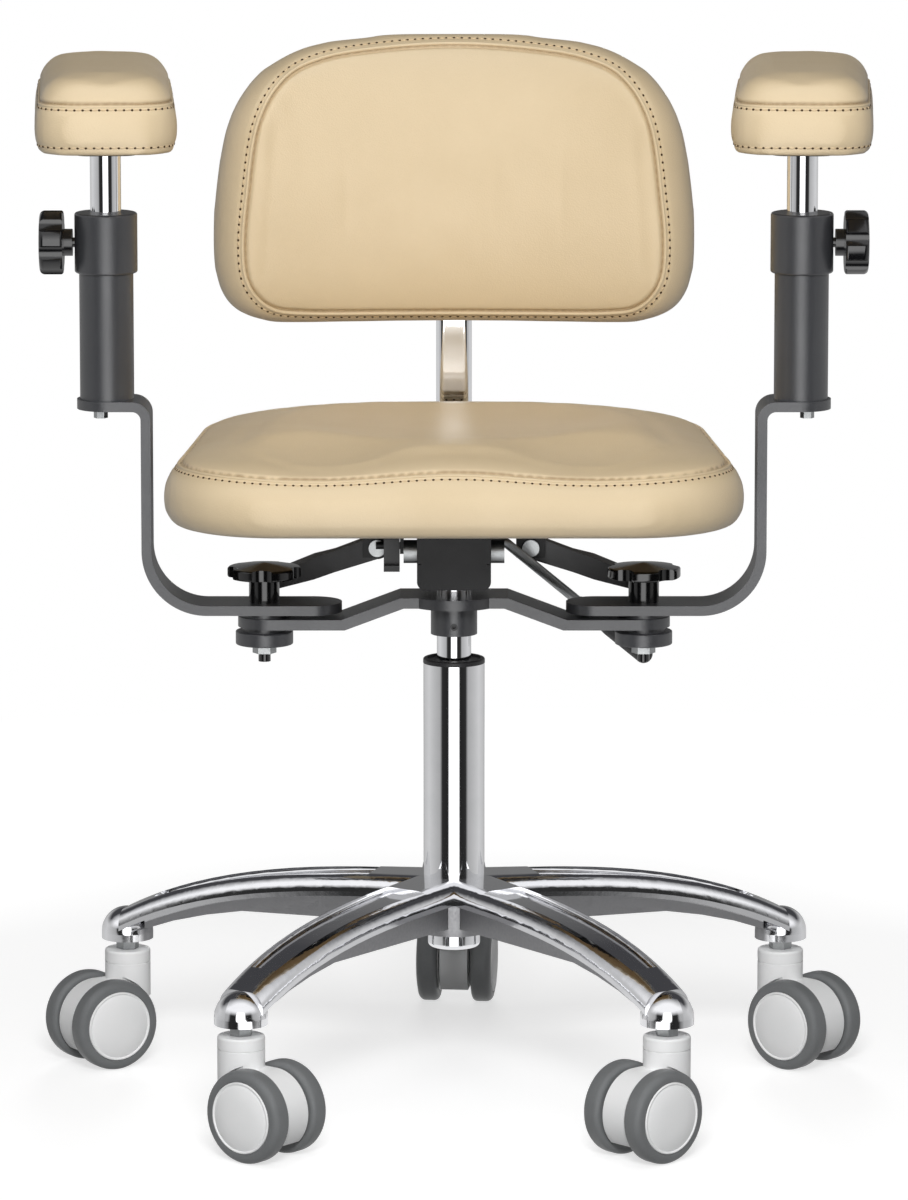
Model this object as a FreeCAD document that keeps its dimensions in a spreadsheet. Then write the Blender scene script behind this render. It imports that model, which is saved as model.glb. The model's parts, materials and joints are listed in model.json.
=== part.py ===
import FreeCAD, Part
import math
import os
import re
import Sketcher

Vector = FreeCAD.Vector
Rotation = FreeCAD.Rotation
UP = Vector(0, 0, 1)

# Driving dimensions in millimetres and degrees. The floor is z = 0, the column stands on the
# z axis, the sitter faces -y, and heights named bottom or top are heights above the floor.
SIZES = [
    ("run_fit", 0.05, "radial clearance of a shaft that turns or slides"),
    ("clearance", 0.3, "gap between faces that move past each other"),
    ("edge_round", 2, "rounding of turned edges"),
    ("knob_round", 4, "rounding of knob faces and of the hub cap"),
    ("stem_circle", 287, "radius of the caster stem circle"),
    ("hub_dia", 58, "base hub diameter"),
    ("hub_bottom", 130, "underside of the hub"),
    ("hub_top", 177, "top of the hub"),
    ("leg_top_hub", 178, "leg top beside the hub"),
    ("leg_top_mid", 171.5, "leg top half way out"),
    ("leg_top_far", 155.5, "leg top before the tip"),
    ("leg_top_tip", 131, "leg top over the caster"),
    ("leg_width_hub", 58, "leg width beside the hub"),
    ("leg_width_mid", 51, "leg width half way out"),
    ("leg_side", 17, "height of the polished leg side"),
    ("leg_round", 13, "rounding along the leg's upper edges"),
    ("rib_width", 26, "cast rib under the leg"),
    ("rib_bottom", 136.5, "underside of the rib out to the leg's bend"),
    ("rib_fall", 21, "fall of the rib's underside from there to the caster boss"),
    ("boss_dia", 43, "caster boss at the leg tip"),
    ("boss_bottom", 104.5, "underside of the caster boss"),
    ("recess_depth", 5, "dished recess along the leg top"),
    ("recess_rim", 9, "rim beside the recess"),
    ("tube_dia", 50, "stand tube diameter"),
    ("tube_wall", 2, "stand tube wall"),
    ("tube_floor", 4, "thickness of the stand tube's floor"),
    ("tube_top", 354, "top of the stand tube"),
    ("bush_flange_dia", 50.6, "guide bush flange diameter"),
    ("bush_flange", 4, "guide bush flange height"),
    ("bush_lip", 3.5, "raised rim of the guide bush"),
    ("bush_recess", 1.5, "depth of the guide bush's top inside that rim"),
    ("bush_length", 64, "guide bush length inside the tube"),
    ("cap_dia", 43, "cap under the hub"),
    ("cap_height", 13, "height of that cap"),
    ("cap_wall", 2, "wall of that cap"),
    ("bearing_dia", 30, "thrust bearing diameter"),
    ("bearing_height", 8, "thrust bearing height"),
    ("rod_dia", 10, "piston rod diameter"),
    ("rod_shoulder_dia", 18, "shoulder that rests on the thrust bearing"),
    ("rod_shoulder", 4, "height of that shoulder"),
    ("piston_height", 8, "height of the piston head"),
    ("piston_bottom", 318, "underside of the piston head"),
    ("lift_dia", 28, "lift cylinder diameter"),
    ("lift_wall", 3, "lift cylinder wall"),
    ("lift_plug", 6, "plug that closes the lift cylinder's lower end"),
    ("lift_bottom", 175, "lower end of the lift cylinder"),
    ("lift_neck", 12, "solid neck at the top of the lift cylinder"),
    ("lift_seal", 2, "wall between the gas and the release pin"),
    ("lift_show", 20, "lift cylinder seen between bush and carrier"),
    ("lift_entry", 17, "lift cylinder length inside the tilt housing"),
    ("collar_dia", 38, "carrier collar diameter"),
    ("collar_height", 24.5, "carrier collar height"),
    ("plate_thick", 8.5, "carrier plate thickness"),
    ("ring_dia", 76, "round middle of the carrier plate"),
    ("ring_flat", 44, "half length of the carrier's raised middle"),
    ("wing_start", 92, "where the carrier wing is level again"),
    ("wing_drop", 18, "step from the raised middle down to the wing"),
    ("wing_end", 21.5, "wing length past the pivot"),
    ("bar_width", 50, "width of the carrier wings and arm brackets"),
    ("set_screw_dia", 6, "set screw in the carrier collar"),
    ("pivot_x", 155, "arm pivot from the column"),
    ("washer_dia", 42, "friction washer diameter"),
    ("washer_thick", 3.5, "friction washer thickness"),
    ("spacer_dia", 36, "lower washer diameter"),
    ("spacer_thick", 4, "lower washer thickness"),
    ("disc_dia", 47, "clamp disc diameter"),
    ("disc_thick", 11, "clamp disc thickness"),
    ("nut_height", 7.5, "pivot nut height"),
    ("nut_corner", 9.8, "pivot nut from centre to corner"),
    ("stud_dia", 10, "pivot stud diameter"),
    ("stud_show", 7, "stud below its nut"),
    ("star_dia", 60, "star knob diameter"),
    ("star_height", 12.5, "star knob head height"),
    ("star_dome", 4, "rise of the star knob's top over its lobes"),
    ("star_neck_dia", 25, "star knob neck diameter"),
    ("star_neck", 20, "star knob neck height"),
    ("star_scallop", 11, "radius of the hollows between the star's lobes"),
    ("star_turn", 20, "turn of each star knob in the photographed pose, in degrees"),
    ("bar_thick", 8, "arm bracket thickness"),
    ("arm_rise", 175.5, "arm bracket height"),
    ("bar_x", 254, "outer face of the upright bar from the column"),
    ("inner_reach", 63.5, "bracket length inward of the pivot"),
    ("lower_bend", 45, "inner radius of the lower bend"),
    ("upper_bend", 7, "inner radius of the upper bend"),
    ("sleeve_x", 282, "arm sleeve from the column"),
    ("outer_reach", 24.5, "bracket length outward of the sleeve"),
    ("sleeve_dia", 44, "arm sleeve diameter"),
    ("sleeve_height", 103, "arm sleeve height below its collar"),
    ("sleeve_floor", 10, "thickness of the sleeve's floor"),
    ("clamp_dia", 51, "sleeve collar diameter"),
    ("clamp_height", 49, "sleeve collar height"),
    ("post_dia", 25, "arm post diameter"),
    ("post_wall", 2, "arm post wall"),
    ("post_show", 57, "arm post seen above its sleeve"),
    ("post_length", 155, "arm post length"),
    ("screw_dia", 8, "sleeve screw diameter"),
    ("screw_head", 8, "sleeve screw head height"),
    ("screw_out", 5.3, "sleeve screw outward of the sleeve's axis"),
    ("clamp_stud_dia", 8, "clamp knob stud diameter"),
    ("clamp_stud_show", 1.5, "stud seen between sleeve collar and knob"),
    ("clamp_knob_dia", 52, "clamp knob diameter"),
    ("clamp_knob_thick", 19, "clamp knob thickness"),
    ("clamp_neck_dia", 22, "clamp knob neck diameter"),
    ("clamp_neck", 7.5, "clamp knob neck length"),
    ("clamp_flute", 8, "radius of the clamp knob's flutes"),
    ("pad_width", 113, "arm pad width"),
    ("pad_length", 260, "arm pad length"),
    ("pad_lead", 140, "arm pad length in front of its post"),
    ("pad_seam", 41, "height of the pad's side up to its seam"),
    ("pad_crown", 20, "rise of the pad's top over its seam"),
    ("pad_corner", 32, "corner radius of the pad in plan"),
    ("pad_edge", 4, "setback of the pad's underside from its side"),
    ("pad_toe", 3.1, "turn of each pad towards the middle at its front, in degrees"),
    ("pad_plate_thick", 3, "steel plate under the pad"),
    ("pad_plate_inset", 32, "that plate's setback from the pad's edge"),
    ("pad_plate_corner", 12, "corner radius of that plate"),
    ("pad_socket", 7, "height of the socket under the pad plate"),
    ("pad_socket_dia", 34, "diameter of that socket"),
    ("housing_gap", 10, "gap between carrier and tilt housing"),
    ("housing_width", 60, "tilt housing width"),
    ("housing_height", 40, "tilt housing height"),
    ("shoulder_rise", 21, "height of the housing's wide lower block"),
    ("tongue_width", 53.4, "width of the housing inside the seat channel"),
    ("housing_round", 7, "rounding along the housing's lower edges"),
    ("housing_front", 46, "tilt housing length in front of the column"),
    ("housing_back", 50, "tilt housing length behind the column"),
    ("housing_fall", 6, "fall of the housing's top at its back"),
    ("tilt_y", -20, "seat tilt axle from the column"),
    ("tilt_rise", 28, "seat tilt axle above the housing's underside"),
    ("axle_dia", 10, "tilt and recline axle diameter"),
    ("axle_boss_dia", 19, "caps on the tilt axle's ends"),
    ("axle_boss", 11, "length of those caps"),
    ("channel_width", 60, "width of the seat channel over the housing"),
    ("channel_wall", 3, "wall of the seat channel"),
    ("channel_front", 54, "seat channel length in front of the column"),
    ("channel_back", 105, "seat channel length behind the column"),
    ("channel_skirt", 36, "height of the seat channel's sides"),
    ("roof_gap", 19, "gap between housing and seat plate"),
    ("flange_width", 160, "seat plate width"),
    ("flange_front", 70, "seat plate length in front of the column"),
    ("flange_thick", 4, "seat plate thickness"),
    ("lever_ear_x", 63, "pivot of the paddle levers from the middle"),
    ("lever_ear_y", 34, "front face of the lever brackets"),
    ("lever_ear_drop", 37, "lever pivots below the seat plate"),
    ("lever_ear_width", 24, "lever bracket width"),
    ("lever_bolt_dia", 8, "lever bolt diameter"),
    ("lever_bolt_length", 24, "lever bolt length"),
    ("lever_bolt_head", 3, "lever bolt head height"),
    ("paddle_reach", 150, "tip of the paddle levers from the middle"),
    ("paddle_drop", 30, "fall of the paddle from its pivot to its tip"),
    ("paddle_width", 30, "width of the paddle"),
    ("paddle_thick", 12, "thickness of the paddle at its tip"),
    ("latch_x", 51, "latch tab from the middle"),
    ("latch_y", 22, "latch pin behind the column"),
    ("latch_drop", 33, "latch pin below the seat plate"),
    ("latch_width", 13, "latch tab width"),
    ("latch_pin_dia", 6, "latch pin diameter"),
    ("latch_length", 20, "latch tab below its pin"),
    ("latch_depth", 10, "latch tab depth"),
    ("latch_head", 6, "latch tab above its pin"),
    ("latch_toe", 11, "latch toe in front of its pin"),
    ("latch_toe_height", 5, "latch toe height"),
    ("pin_dia", 7, "release pin diameter"),
    ("pin_length", 19, "release pin length"),
    ("lever_rod_dia", 8, "lift lever rod diameter"),
    ("lever_rise", 17, "lift lever above the lift cylinder"),
    ("lever_fulcrum", 20, "lift lever fulcrum from the column"),
    ("lever_elbow", 40, "bend of the lift lever from the column"),
    ("lever_bend", 14, "radius of that bend"),
    ("lever_tip_x", 162, "lift lever tip to the side"),
    ("lever_tip_y", 90, "lift lever tip behind the column"),
    ("lever_tip_fall", 114, "lift lever tip below its inner arm"),
    ("grip_dia", 15, "lift lever grip diameter"),
    ("grip_length", 92, "lift lever grip length"),
    ("board_thick", 13, "seat board thickness"),
    ("board_show", 3, "seat board seen below the cushion"),
    ("board_inset", 36, "seat board's setback from the cushion's edge"),
    ("seat_front_width", 478, "seat width across its front"),
    ("seat_rear_width", 412, "seat width across its rear"),
    ("seat_front", 207, "seat front edge from the column"),
    ("seat_back", 215, "seat rear edge from the column"),
    ("seat_front_corner", 88, "seat front corner radius"),
    ("seat_rear_corner", 150, "seat rear corner radius"),
    ("seat_seam", 50, "height of the seat's side up to its seam"),
    ("seat_crown", 10.5, "rise of the seat's top over its seam"),
    ("seat_edge", 13, "setback of the seat's seam and underside from its side"),
    ("dish_depth", 9, "hollow of the seat"),
    ("dish_width", 430, "width of that hollow"),
    ("dish_length", 380, "length of that hollow"),
    ("dish_y", 40, "middle of that hollow behind the column"),
    ("thigh_depth", 8, "depth of the two thigh channels"),
    ("thigh_x", 105, "thigh channels from the middle"),
    ("thigh_y", -135, "thigh channels behind the column"),
    ("thigh_width", 230, "thigh channel width"),
    ("thigh_length", 350, "thigh channel length"),
    ("hollow_round", 40, "roundness of the seat's hollows"),
    ("hinge_y", 85, "recline axle behind the column"),
    ("hinge_drop", 25, "recline axle below the seat plate"),
    ("yoke_dia", 22, "recline yoke barrel diameter"),
    ("yoke_width", 52, "recline yoke barrel width"),
    ("yoke_length", 45, "yoke socket length behind its axle"),
    ("post_flat_width", 30, "flat oval back post width"),
    ("post_flat_thick", 15, "flat oval back post thickness"),
    ("back_post_bend", 40, "inner radius of the back post's bend"),
    ("back_post_top", 745, "top of the back post"),
    ("yoke_wall", 4, "wall of the yoke and back sockets"),
    ("back_bottom", 610, "underside of the backrest"),
    ("back_height", 242, "backrest height"),
    ("back_width", 399, "backrest width"),
    ("back_thick", 66, "backrest cushion thickness"),
    ("back_front", 165, "front of the backrest behind the column"),
    ("back_wrap", 800, "radius of the backrest's curve around the sitter"),
    ("back_seam", 25, "front panel's setback from the backrest's edge"),
    ("shell_thick", 6, "backrest shell thickness"),
    ("shell_gap", 0.6, "gap between the backrest cushion and its shell"),
    ("shell_rise", 34, "lower edge of the shell above the backrest's underside"),
    ("shell_height", 140, "backrest shell height"),
    ("shell_inset", 34, "backrest shell's setback from the cushion's edge"),
    ("socket_height", 84, "height of the socket on the backrest shell"),
    ("socket_bottom", 650, "underside of that socket"),
    ("back_knob_dia", 40, "backrest clamp knob diameter"),
    ("back_knob_thick", 18, "backrest clamp knob thickness"),
    ("wheel_dia", 75, "caster wheel diameter"),
    ("wheel_gap", 14, "caster wheel's inner face from the caster's middle"),
    ("tread_width", 18, "tread width"),
    ("tread_depth", 8.5, "tread depth"),
    ("tread_round", 5, "rounding of the tread's edges"),
    ("wheel_dome", 2.5, "wheel disc's bulge past the tread"),
    ("caster_axle_dia", 8, "caster axle diameter"),
    ("caster_axle_length", 56, "caster axle length"),
    ("caster_trail", 26, "caster axle from its swivel axis"),
    ("hood_dia", 66, "caster hood diameter round the axle"),
    ("hood_thick", 24, "caster hood thickness between the wheels"),
    ("hood_clear", 14, "underside of the caster hood"),
    ("barrel_dia", 38, "caster swivel barrel diameter"),
    ("barrel_bottom", 56, "underside of the caster swivel barrel"),
    ("barrel_top", 95.5, "top of the caster swivel barrel"),
    ("barrel_groove", 85, "swivel groove round the barrel"),
    ("stem_dia", 11, "caster stem diameter"),
    ("stem_hold", 24, "stem length inside the swivel barrel"),
    ("stem_entry", 25, "stem length inside the leg boss"),
    ("stem_hex", 9.5, "stem hexagon from centre to corner"),
]

# Places that follow from the driving dimensions.
PLACES = {
    "bush_top": "tube_top + bush_flange",
    "tube_bottom": "hub_bottom",
    "collar_bottom": "bush_top + lift_show",
    "ring_bottom": "collar_bottom + collar_height",
    "ring_top": "ring_bottom + plate_thick",
    "wing_top": "ring_top - wing_drop",
    "wing_bottom": "wing_top - plate_thick",
    "bracket_bottom": "wing_top + washer_thick",
    "bracket_top": "bracket_bottom + bar_thick",
    "spacer_bottom": "wing_bottom - spacer_thick",
    "disc_bottom": "spacer_bottom - disc_thick",
    "nut_bottom": "disc_bottom - nut_height",
    "stud_bottom": "nut_bottom - stud_show",
    "star_bottom": "bracket_top + star_neck",
    "arm_top": "bracket_bottom + arm_rise",
    "clamp_bottom": "arm_top + sleeve_height",
    "clamp_top": "clamp_bottom + clamp_height",
    "clamp_axis": "clamp_bottom + clamp_height / 2",
    "plate_bottom": "clamp_top + post_show",
    "pad_bottom": "plate_bottom + pad_plate_thick",
    "housing_bottom": "ring_top + housing_gap",
    "housing_top": "housing_bottom + housing_height",
    "tilt_z": "housing_bottom + tilt_rise",
    "lift_top": "housing_bottom + lift_entry",
    "lever_z": "lift_top + lever_rise",
    "roof": "housing_top + roof_gap",
    "board_bottom": "roof + flange_thick",
    "seat_bottom": "board_bottom + board_show",
    "seat_seam_top": "seat_bottom + seat_seam",
    "ear_z": "roof - lever_ear_drop",
    "ear_back": "lever_ear_y + flange_thick",
    "latch_z": "roof - latch_drop",
    "hinge_z": "roof - hinge_drop",
    "back_rear": "back_front + back_thick + shell_gap",
    "back_post_y": "back_rear + shell_thick + clearance + post_flat_thick / 2",
    "wheel_radius": "wheel_dia / 2",
    "rim_radius": "wheel_dia / 2 - tread_depth",
    "shoulder": "housing_bottom + shoulder_rise",
    "skirt_bottom": "roof - channel_skirt",
    "shoulder_bottom": "tube_bottom + tube_floor + bearing_height + clearance",
}
NAMES = {alias for alias, value, note in SIZES}

# Legs counted from the front left, with the way each caster trails in the photographed pose.
CASTERS = {
    "front_left": (-36, -38.7),
    "front_right": (36, -137.1),
    "side_left": (-108, -148.2),
    "side_right": (108, -41.3),
    "rear": (180, 84),
}
SIDES = {"left": -1, "right": 1}
LEG_STATIONS = (0.05, 0.47, 0.78, 1.0)
RECESS_STATIONS = (0.24, 0.47, 0.78, 0.9)

doc = FreeCAD.newDocument("MicroscopeChair")
sheet = doc.addObject("Spreadsheet::Sheet", "Sizes")
for row, (alias, value, note) in enumerate(SIZES, 1):
    sheet.set(f"A{row}", note)
    sheet.set(f"B{row}", str(value))
    sheet.setAlias(f"B{row}", alias)
doc.recompute()
pieces = []


def bound(text):
    """The expression with each size pointed at its cell and each place spelled out."""
    def point(match):
        word = match.group(0)
        if word in NAMES:
            return "Sizes." + word
        return f"({bound(PLACES[word])})" if word in PLACES else word
    return re.sub(r"[a-z_]+", point, str(text))


def worth(text):
    """The number that an expression gives."""
    return float(sheet.evalExpression(bound(text)))


def tie(item, **properties):
    """Bind properties of a document object to expressions."""
    for name, text in properties.items():
        item.setExpression(name, bound(text))
    return item


def place(item, at, turn=None):
    """Put a document object at a place given by expressions, turned by a rotation."""
    item.Placement = FreeCAD.Placement(Vector(*map(worth, at)), turn or Rotation())
    for axis, text in zip("xyz", at):
        item.setExpression("Placement.Base." + axis, bound(text))
    return item


def piece(item, label):
    """Name a finished sub-part, so that it is written out."""
    item.Label = label
    pieces.append(item)
    return item


def group(label, members, at=("0", "0", "0"), turn=None):
    """One node of separate solids, made from members in their own frame."""
    item = doc.addObject("Part::Compound", label)
    item.Links = members
    return piece(place(item, at, turn), label)


def rod(name, diameter, length, at, turn=None):
    """A plain round bar that starts at a place and runs along its own z axis."""
    item = doc.addObject("Part::Cylinder", name)
    tie(item, Radius=f"({diameter}) / 2", Height=length)
    return place(item, at, turn)


def block(name, low, high):
    """A box between two corners given by expressions."""
    item = doc.addObject("Part::Box", name)
    for side, start, end in zip(("Length", "Width", "Height"), low, high):
        tie(item, **{side: f"({end}) - ({start})"})
    return place(item, low)


def hexagon(name, corner, height, at):
    """A hexagonal bar that stands on a place."""
    item = doc.addObject("Part::Prism", name)
    item.Polygon = 6
    tie(item, Circumradius=corner, Height=height)
    return place(item, at)


def cut(name, base, *tools):
    """The base with each tool taken away in turn."""
    for number, tool in enumerate(tools):
        item = doc.addObject("Part::Cut", f"{name}_cut_{number}")
        item.Base = base
        item.Tool = tool
        base = item
    return base


def fuse(name, *shapes):
    """Several shapes as one solid."""
    item = doc.addObject("Part::MultiFuse", name)
    item.Shapes = list(shapes)
    return item


def common(name, first, second):
    """What two shapes share."""
    item = doc.addObject("Part::Common", name)
    item.Base = first
    item.Tool = second
    return item


def corner_arc(before, corner, after, radius):
    """Start, end and centre of the arc that rounds a corner."""
    back = (before - corner).normalize()
    ahead = (after - corner).normalize()
    half = back.getAngle(ahead) / 2
    reach = radius / math.tan(half)
    centre = corner + (back + ahead).normalize() * (radius / math.sin(half))
    return corner + back * reach, corner + ahead * reach, centre


def neighbours(points):
    """Each point of a closed outline with the one before it and the one after it."""
    return zip(points[-1:] + points[:-1], points, points[1:] + points[:1])


def fix_point(sketch, shape, end, x, y):
    """Tie a sketch point to two expressions."""
    for text, kind, axis in ((x, "DistanceX", -2), (y, "DistanceY", -1)):
        if text == "0":
            sketch.addConstraint(Sketcher.Constraint("PointOnObject", shape, end, axis))
            continue
        number = sketch.addConstraint(Sketcher.Constraint(kind, -1, 1, shape, end, worth(text)))
        sketch.setExpression(f"Constraints[{number}]", bound(text))


def outline(sketch, corners):
    """A closed outline through corners (x, y) or (x, y, radius), tied to the sheet."""
    points = [Vector(worth(corner[0]), worth(corner[1]), 0) for corner in corners]
    arcs = {}
    starts, ends = list(points), list(points)
    for i, (before, point, after) in enumerate(neighbours(points)):
        if len(corners[i]) == 3:
            radius = worth(corners[i][2])
            starts[i], ends[i], centre = corner_arc(before, point, after, radius)
            first, last = starts[i], ends[i]
            left_turn = (point - before).cross(after - point).z > 0
            if not left_turn:
                first, last = last, first
            angles = [math.atan2(p.y - centre.y, p.x - centre.x) for p in (first, last)]
            arc = Part.ArcOfCircle(Part.Circle(centre, UP, radius), *angles)
            arcs[i] = (sketch.addGeometry(arc), (1, 2) if left_turn else (2, 1))
    count = len(points)
    lines = [sketch.addGeometry(Part.LineSegment(ends[i], starts[(i + 1) % count])) for i in range(count)]
    for i, corner in enumerate(corners):
        arriving, leaving = lines[i - 1], lines[i]
        if i not in arcs:
            sketch.addConstraint(Sketcher.Constraint("Coincident", arriving, 2, leaving, 1))
            fix_point(sketch, leaving, 1, corner[0], corner[1])
            continue
        arc, (start, end) = arcs[i]
        mark = sketch.addGeometry(Part.Point(points[i]), True)
        sketch.addConstraint(Sketcher.Constraint("Tangent", arriving, 2, arc, start))
        sketch.addConstraint(Sketcher.Constraint("Tangent", leaving, 1, arc, end))
        for line in (arriving, leaving):
            sketch.addConstraint(Sketcher.Constraint("PointOnObject", mark, 1, line))
        fix_point(sketch, mark, 1, corner[0], corner[1])
        number = sketch.addConstraint(Sketcher.Constraint("Radius", arc, worth(corner[2])))
        sketch.setExpression(f"Constraints[{number}]", bound(corner[2]))


def ring(sketch, x, y, radius):
    """A circle tied to the sheet."""
    circle = sketch.addGeometry(Part.Circle(Vector(worth(x), worth(y), 0), UP, worth(radius)))
    fix_point(sketch, circle, 3, x, y)
    number = sketch.addConstraint(Sketcher.Constraint("Radius", circle, worth(radius)))
    sketch.setExpression(f"Constraints[{number}]", bound(radius))


def datum(body, role):
    """One of a body's own origin planes or axes."""
    return next(feature for feature in body.Origin.OriginFeatures if feature.Role == role)


def new_sketch(body, plane, along="0", aside="0"):
    """A sketch on one of the body's planes, moved along its normal and sideways."""
    sketch = body.newObject("Sketcher::SketchObject", body.Label + "_sketch")
    sketch.AttachmentSupport = [(datum(body, plane), "")]
    sketch.MapMode = "FlatFace"
    tie(sketch, **{"AttachmentOffset.Base.z": along, "AttachmentOffset.Base.x": aside})
    return sketch


def new_body(label):
    """An empty solid body."""
    return doc.addObject("PartDesign::Body", label)


def revolve(body, corners, aside="0"):
    """Add a turned shape whose outline is given as (radius, height)."""
    sketch = new_sketch(body, "XZ_Plane", aside=aside)
    outline(sketch, corners)
    feature = body.newObject("PartDesign::Revolution", body.Label + "_turning")
    feature.Profile = sketch
    feature.ReferenceAxis = (sketch, ["V_Axis"])
    feature.Angle = 360
    return feature


def turned(label, corners):
    """A body turned round the z axis."""
    body = new_body(label)
    revolve(body, corners)
    return body


def pad(body, plane, corners, width):
    """Add a plate with that outline, its width shared by both sides of the plane."""
    sketch = new_sketch(body, plane)
    outline(sketch, corners)
    feature = body.newObject("PartDesign::Pad", body.Label + "_pad")
    feature.Profile = sketch
    feature.SideType = "Symmetric"
    return tie(feature, Length=width)


def padded(label, plane, corners, width):
    """A body that is one such plate."""
    body = new_body(label)
    pad(body, plane, corners, width)
    return body


def drill(body, plane, holes):
    """Cut round holes (x, y, radius) right through the body, square to a plane."""
    sketch = new_sketch(body, plane)
    for hole in holes:
        ring(sketch, *hole)
    feature = body.newObject("PartDesign::Pocket", body.Label + "_holes")
    feature.Profile = sketch
    feature.Type = "ThroughAll"
    feature.SideType = "Symmetric"
    return feature


def round_edges(body, radius, chosen):
    """Round the edges of the body's last feature that a test picks out."""
    doc.recompute()
    base = body.Tip
    names = [f"Edge{i}" for i, edge in enumerate(base.Shape.Edges, 1) if chosen(edge)]
    feature = body.newObject("PartDesign::Fillet", body.Label + "_rounding")
    feature.Base = (base, names)
    return tie(feature, Radius=radius)


def repeat(body, features, count):
    """Repeat features evenly round the z axis."""
    pattern = body.newObject("PartDesign::PolarPattern", body.Label + "_pattern")
    pattern.Originals = features
    pattern.Axis = (datum(body, "Z_Axis"), [""])
    pattern.Angle = 360
    if isinstance(count, str):
        tie(pattern, Occurrences=count)
    else:
        pattern.Occurrences = count
    body.Tip = pattern
    return pattern


def rounded_wire(corners, lift):
    """A closed level wire through corners (x, y, radius), raised to a height."""
    points = [Vector(x, y, lift) for x, y, radius in corners]
    arcs = [corner_arc(before, point, after, corner[2])
            for (before, point, after), corner in zip(neighbours(points), corners)]
    edges = []
    for i, (start, end, centre) in enumerate(arcs):
        middle = centre + (points[i] - centre).normalize() * corners[i][2]
        following = arcs[(i + 1) % len(arcs)][0]
        edges.append(Part.Arc(start, middle, end).toShape())
        edges.append(Part.LineSegment(end, following).toShape())
    return Part.Wire(edges)


def formed(name, shape):
    """A shape that was lofted or piped, as an object of the document."""
    item = doc.addObject("Part::Feature", name)
    item.Shape = shape
    return item


def star_base():
    """Cast star base: arched legs with a dished top, a rib below and a caster boss at the tip."""
    leg = new_body("base_leg")
    tops = ("leg_top_hub", "leg_top_mid", "leg_top_far", "leg_top_tip")
    widths = ("leg_width_hub", "leg_width_mid", "(leg_width_mid + boss_dia) / 2", "boss_dia")
    sections = []
    for share, width, top in zip(LEG_STATIONS, widths, tops):
        half = f"({width}) / 2"
        sketch = new_sketch(leg, "YZ_Plane", along=f"stem_circle * {share}")
        outline(sketch, [(f"-{half}", f"{top} - leg_side"), (half, f"{top} - leg_side"),
                         (half, top, "leg_round"), (f"-{half}", top, "leg_round")])
        sections.append(sketch)
    arch = leg.newObject("PartDesign::AdditiveLoft", "leg_arch")
    arch.Profile = sections[0]
    arch.Sections = sections[1:]
    pad(leg, "XZ_Plane", [
        (f"stem_circle * {LEG_STATIONS[0]}", "rib_bottom"), ("stem_circle * 0.63", "rib_bottom"),
        ("stem_circle * 0.74", "rib_bottom - rib_fall / 4"),
        ("stem_circle * 0.84", "rib_bottom - rib_fall * 0.58"),
        ("stem_circle * 0.93", "rib_bottom - rib_fall"),
        ("stem_circle * 0.93", "leg_top_tip - leg_round / 2"),
        ("stem_circle * 0.78", "leg_top_far - leg_round"), ("stem_circle * 0.47", "leg_top_mid - leg_round"),
        (f"stem_circle * {LEG_STATIONS[0]}", "leg_top_mid - leg_round")], "rib_width")
    boss = [("0", "boss_bottom"), ("boss_dia / 2", "boss_bottom"),
            ("boss_dia / 2", "leg_top_tip", "boss_dia / 2 - 1"), ("0", "leg_top_tip")]
    revolve(leg, boss, aside="stem_circle")
    hollows = []
    for share, half, top in zip(
            RECESS_STATIONS,
            ("leg_width_hub / 2", "leg_width_mid / 2", "(leg_width_mid + boss_dia) / 4", "boss_dia / 2"),
            ("leg_top_hub - 2", "leg_top_mid", "leg_top_far", "(leg_top_far + leg_top_tip) / 2 + 1")):
        inner = f"({half} - recess_rim)"
        sketch = new_sketch(leg, "YZ_Plane", along=f"stem_circle * {share}")
        outline(sketch, [(f"-{inner}", f"{top} - recess_depth", "recess_depth / 2"),
                         (inner, f"{top} - recess_depth", "recess_depth / 2"),
                         (inner, f"{top} + leg_side"), (f"-{inner}", f"{top} + leg_side")])
        hollows.append(sketch)
    recess = leg.newObject("PartDesign::SubtractiveLoft", "leg_recess")
    recess.Profile = hollows[0]
    recess.Sections = hollows[1:]
    hub = rod("base_hub", "hub_dia", "hub_top - hub_bottom", ("0", "0", "hub_bottom"))
    share_angle = 180 / len(CASTERS)
    wedge = padded("leg_wedge", "XY_Plane", [
        ("0", "0"), ("2 * stem_circle", f"-2 * stem_circle * tan({share_angle})"),
        ("2 * stem_circle", f"2 * stem_circle * tan({share_angle})")], "3 * hub_top")
    bore = rod("base_bore", "tube_dia", "2 * hub_top", ("0", "0", "0"))
    socket = rod("leg_socket", "stem_dia", "stem_entry", ("stem_circle", "0", "boss_bottom"))
    sector = cut("leg_sector", common("leg_wedged", fuse("leg_and_hub", leg, hub), wedge), bore, socket)
    sectors = []
    for name, (bearing, trail) in CASTERS.items():
        member = doc.addObject("Part::Compound", f"leg_{name}")
        member.Links = [sector]
        sectors.append(place(member, ("0", "0", "0"), Rotation(UP, bearing - 90)))
    piece(fuse("star_base", *sectors), "star_base")


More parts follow.
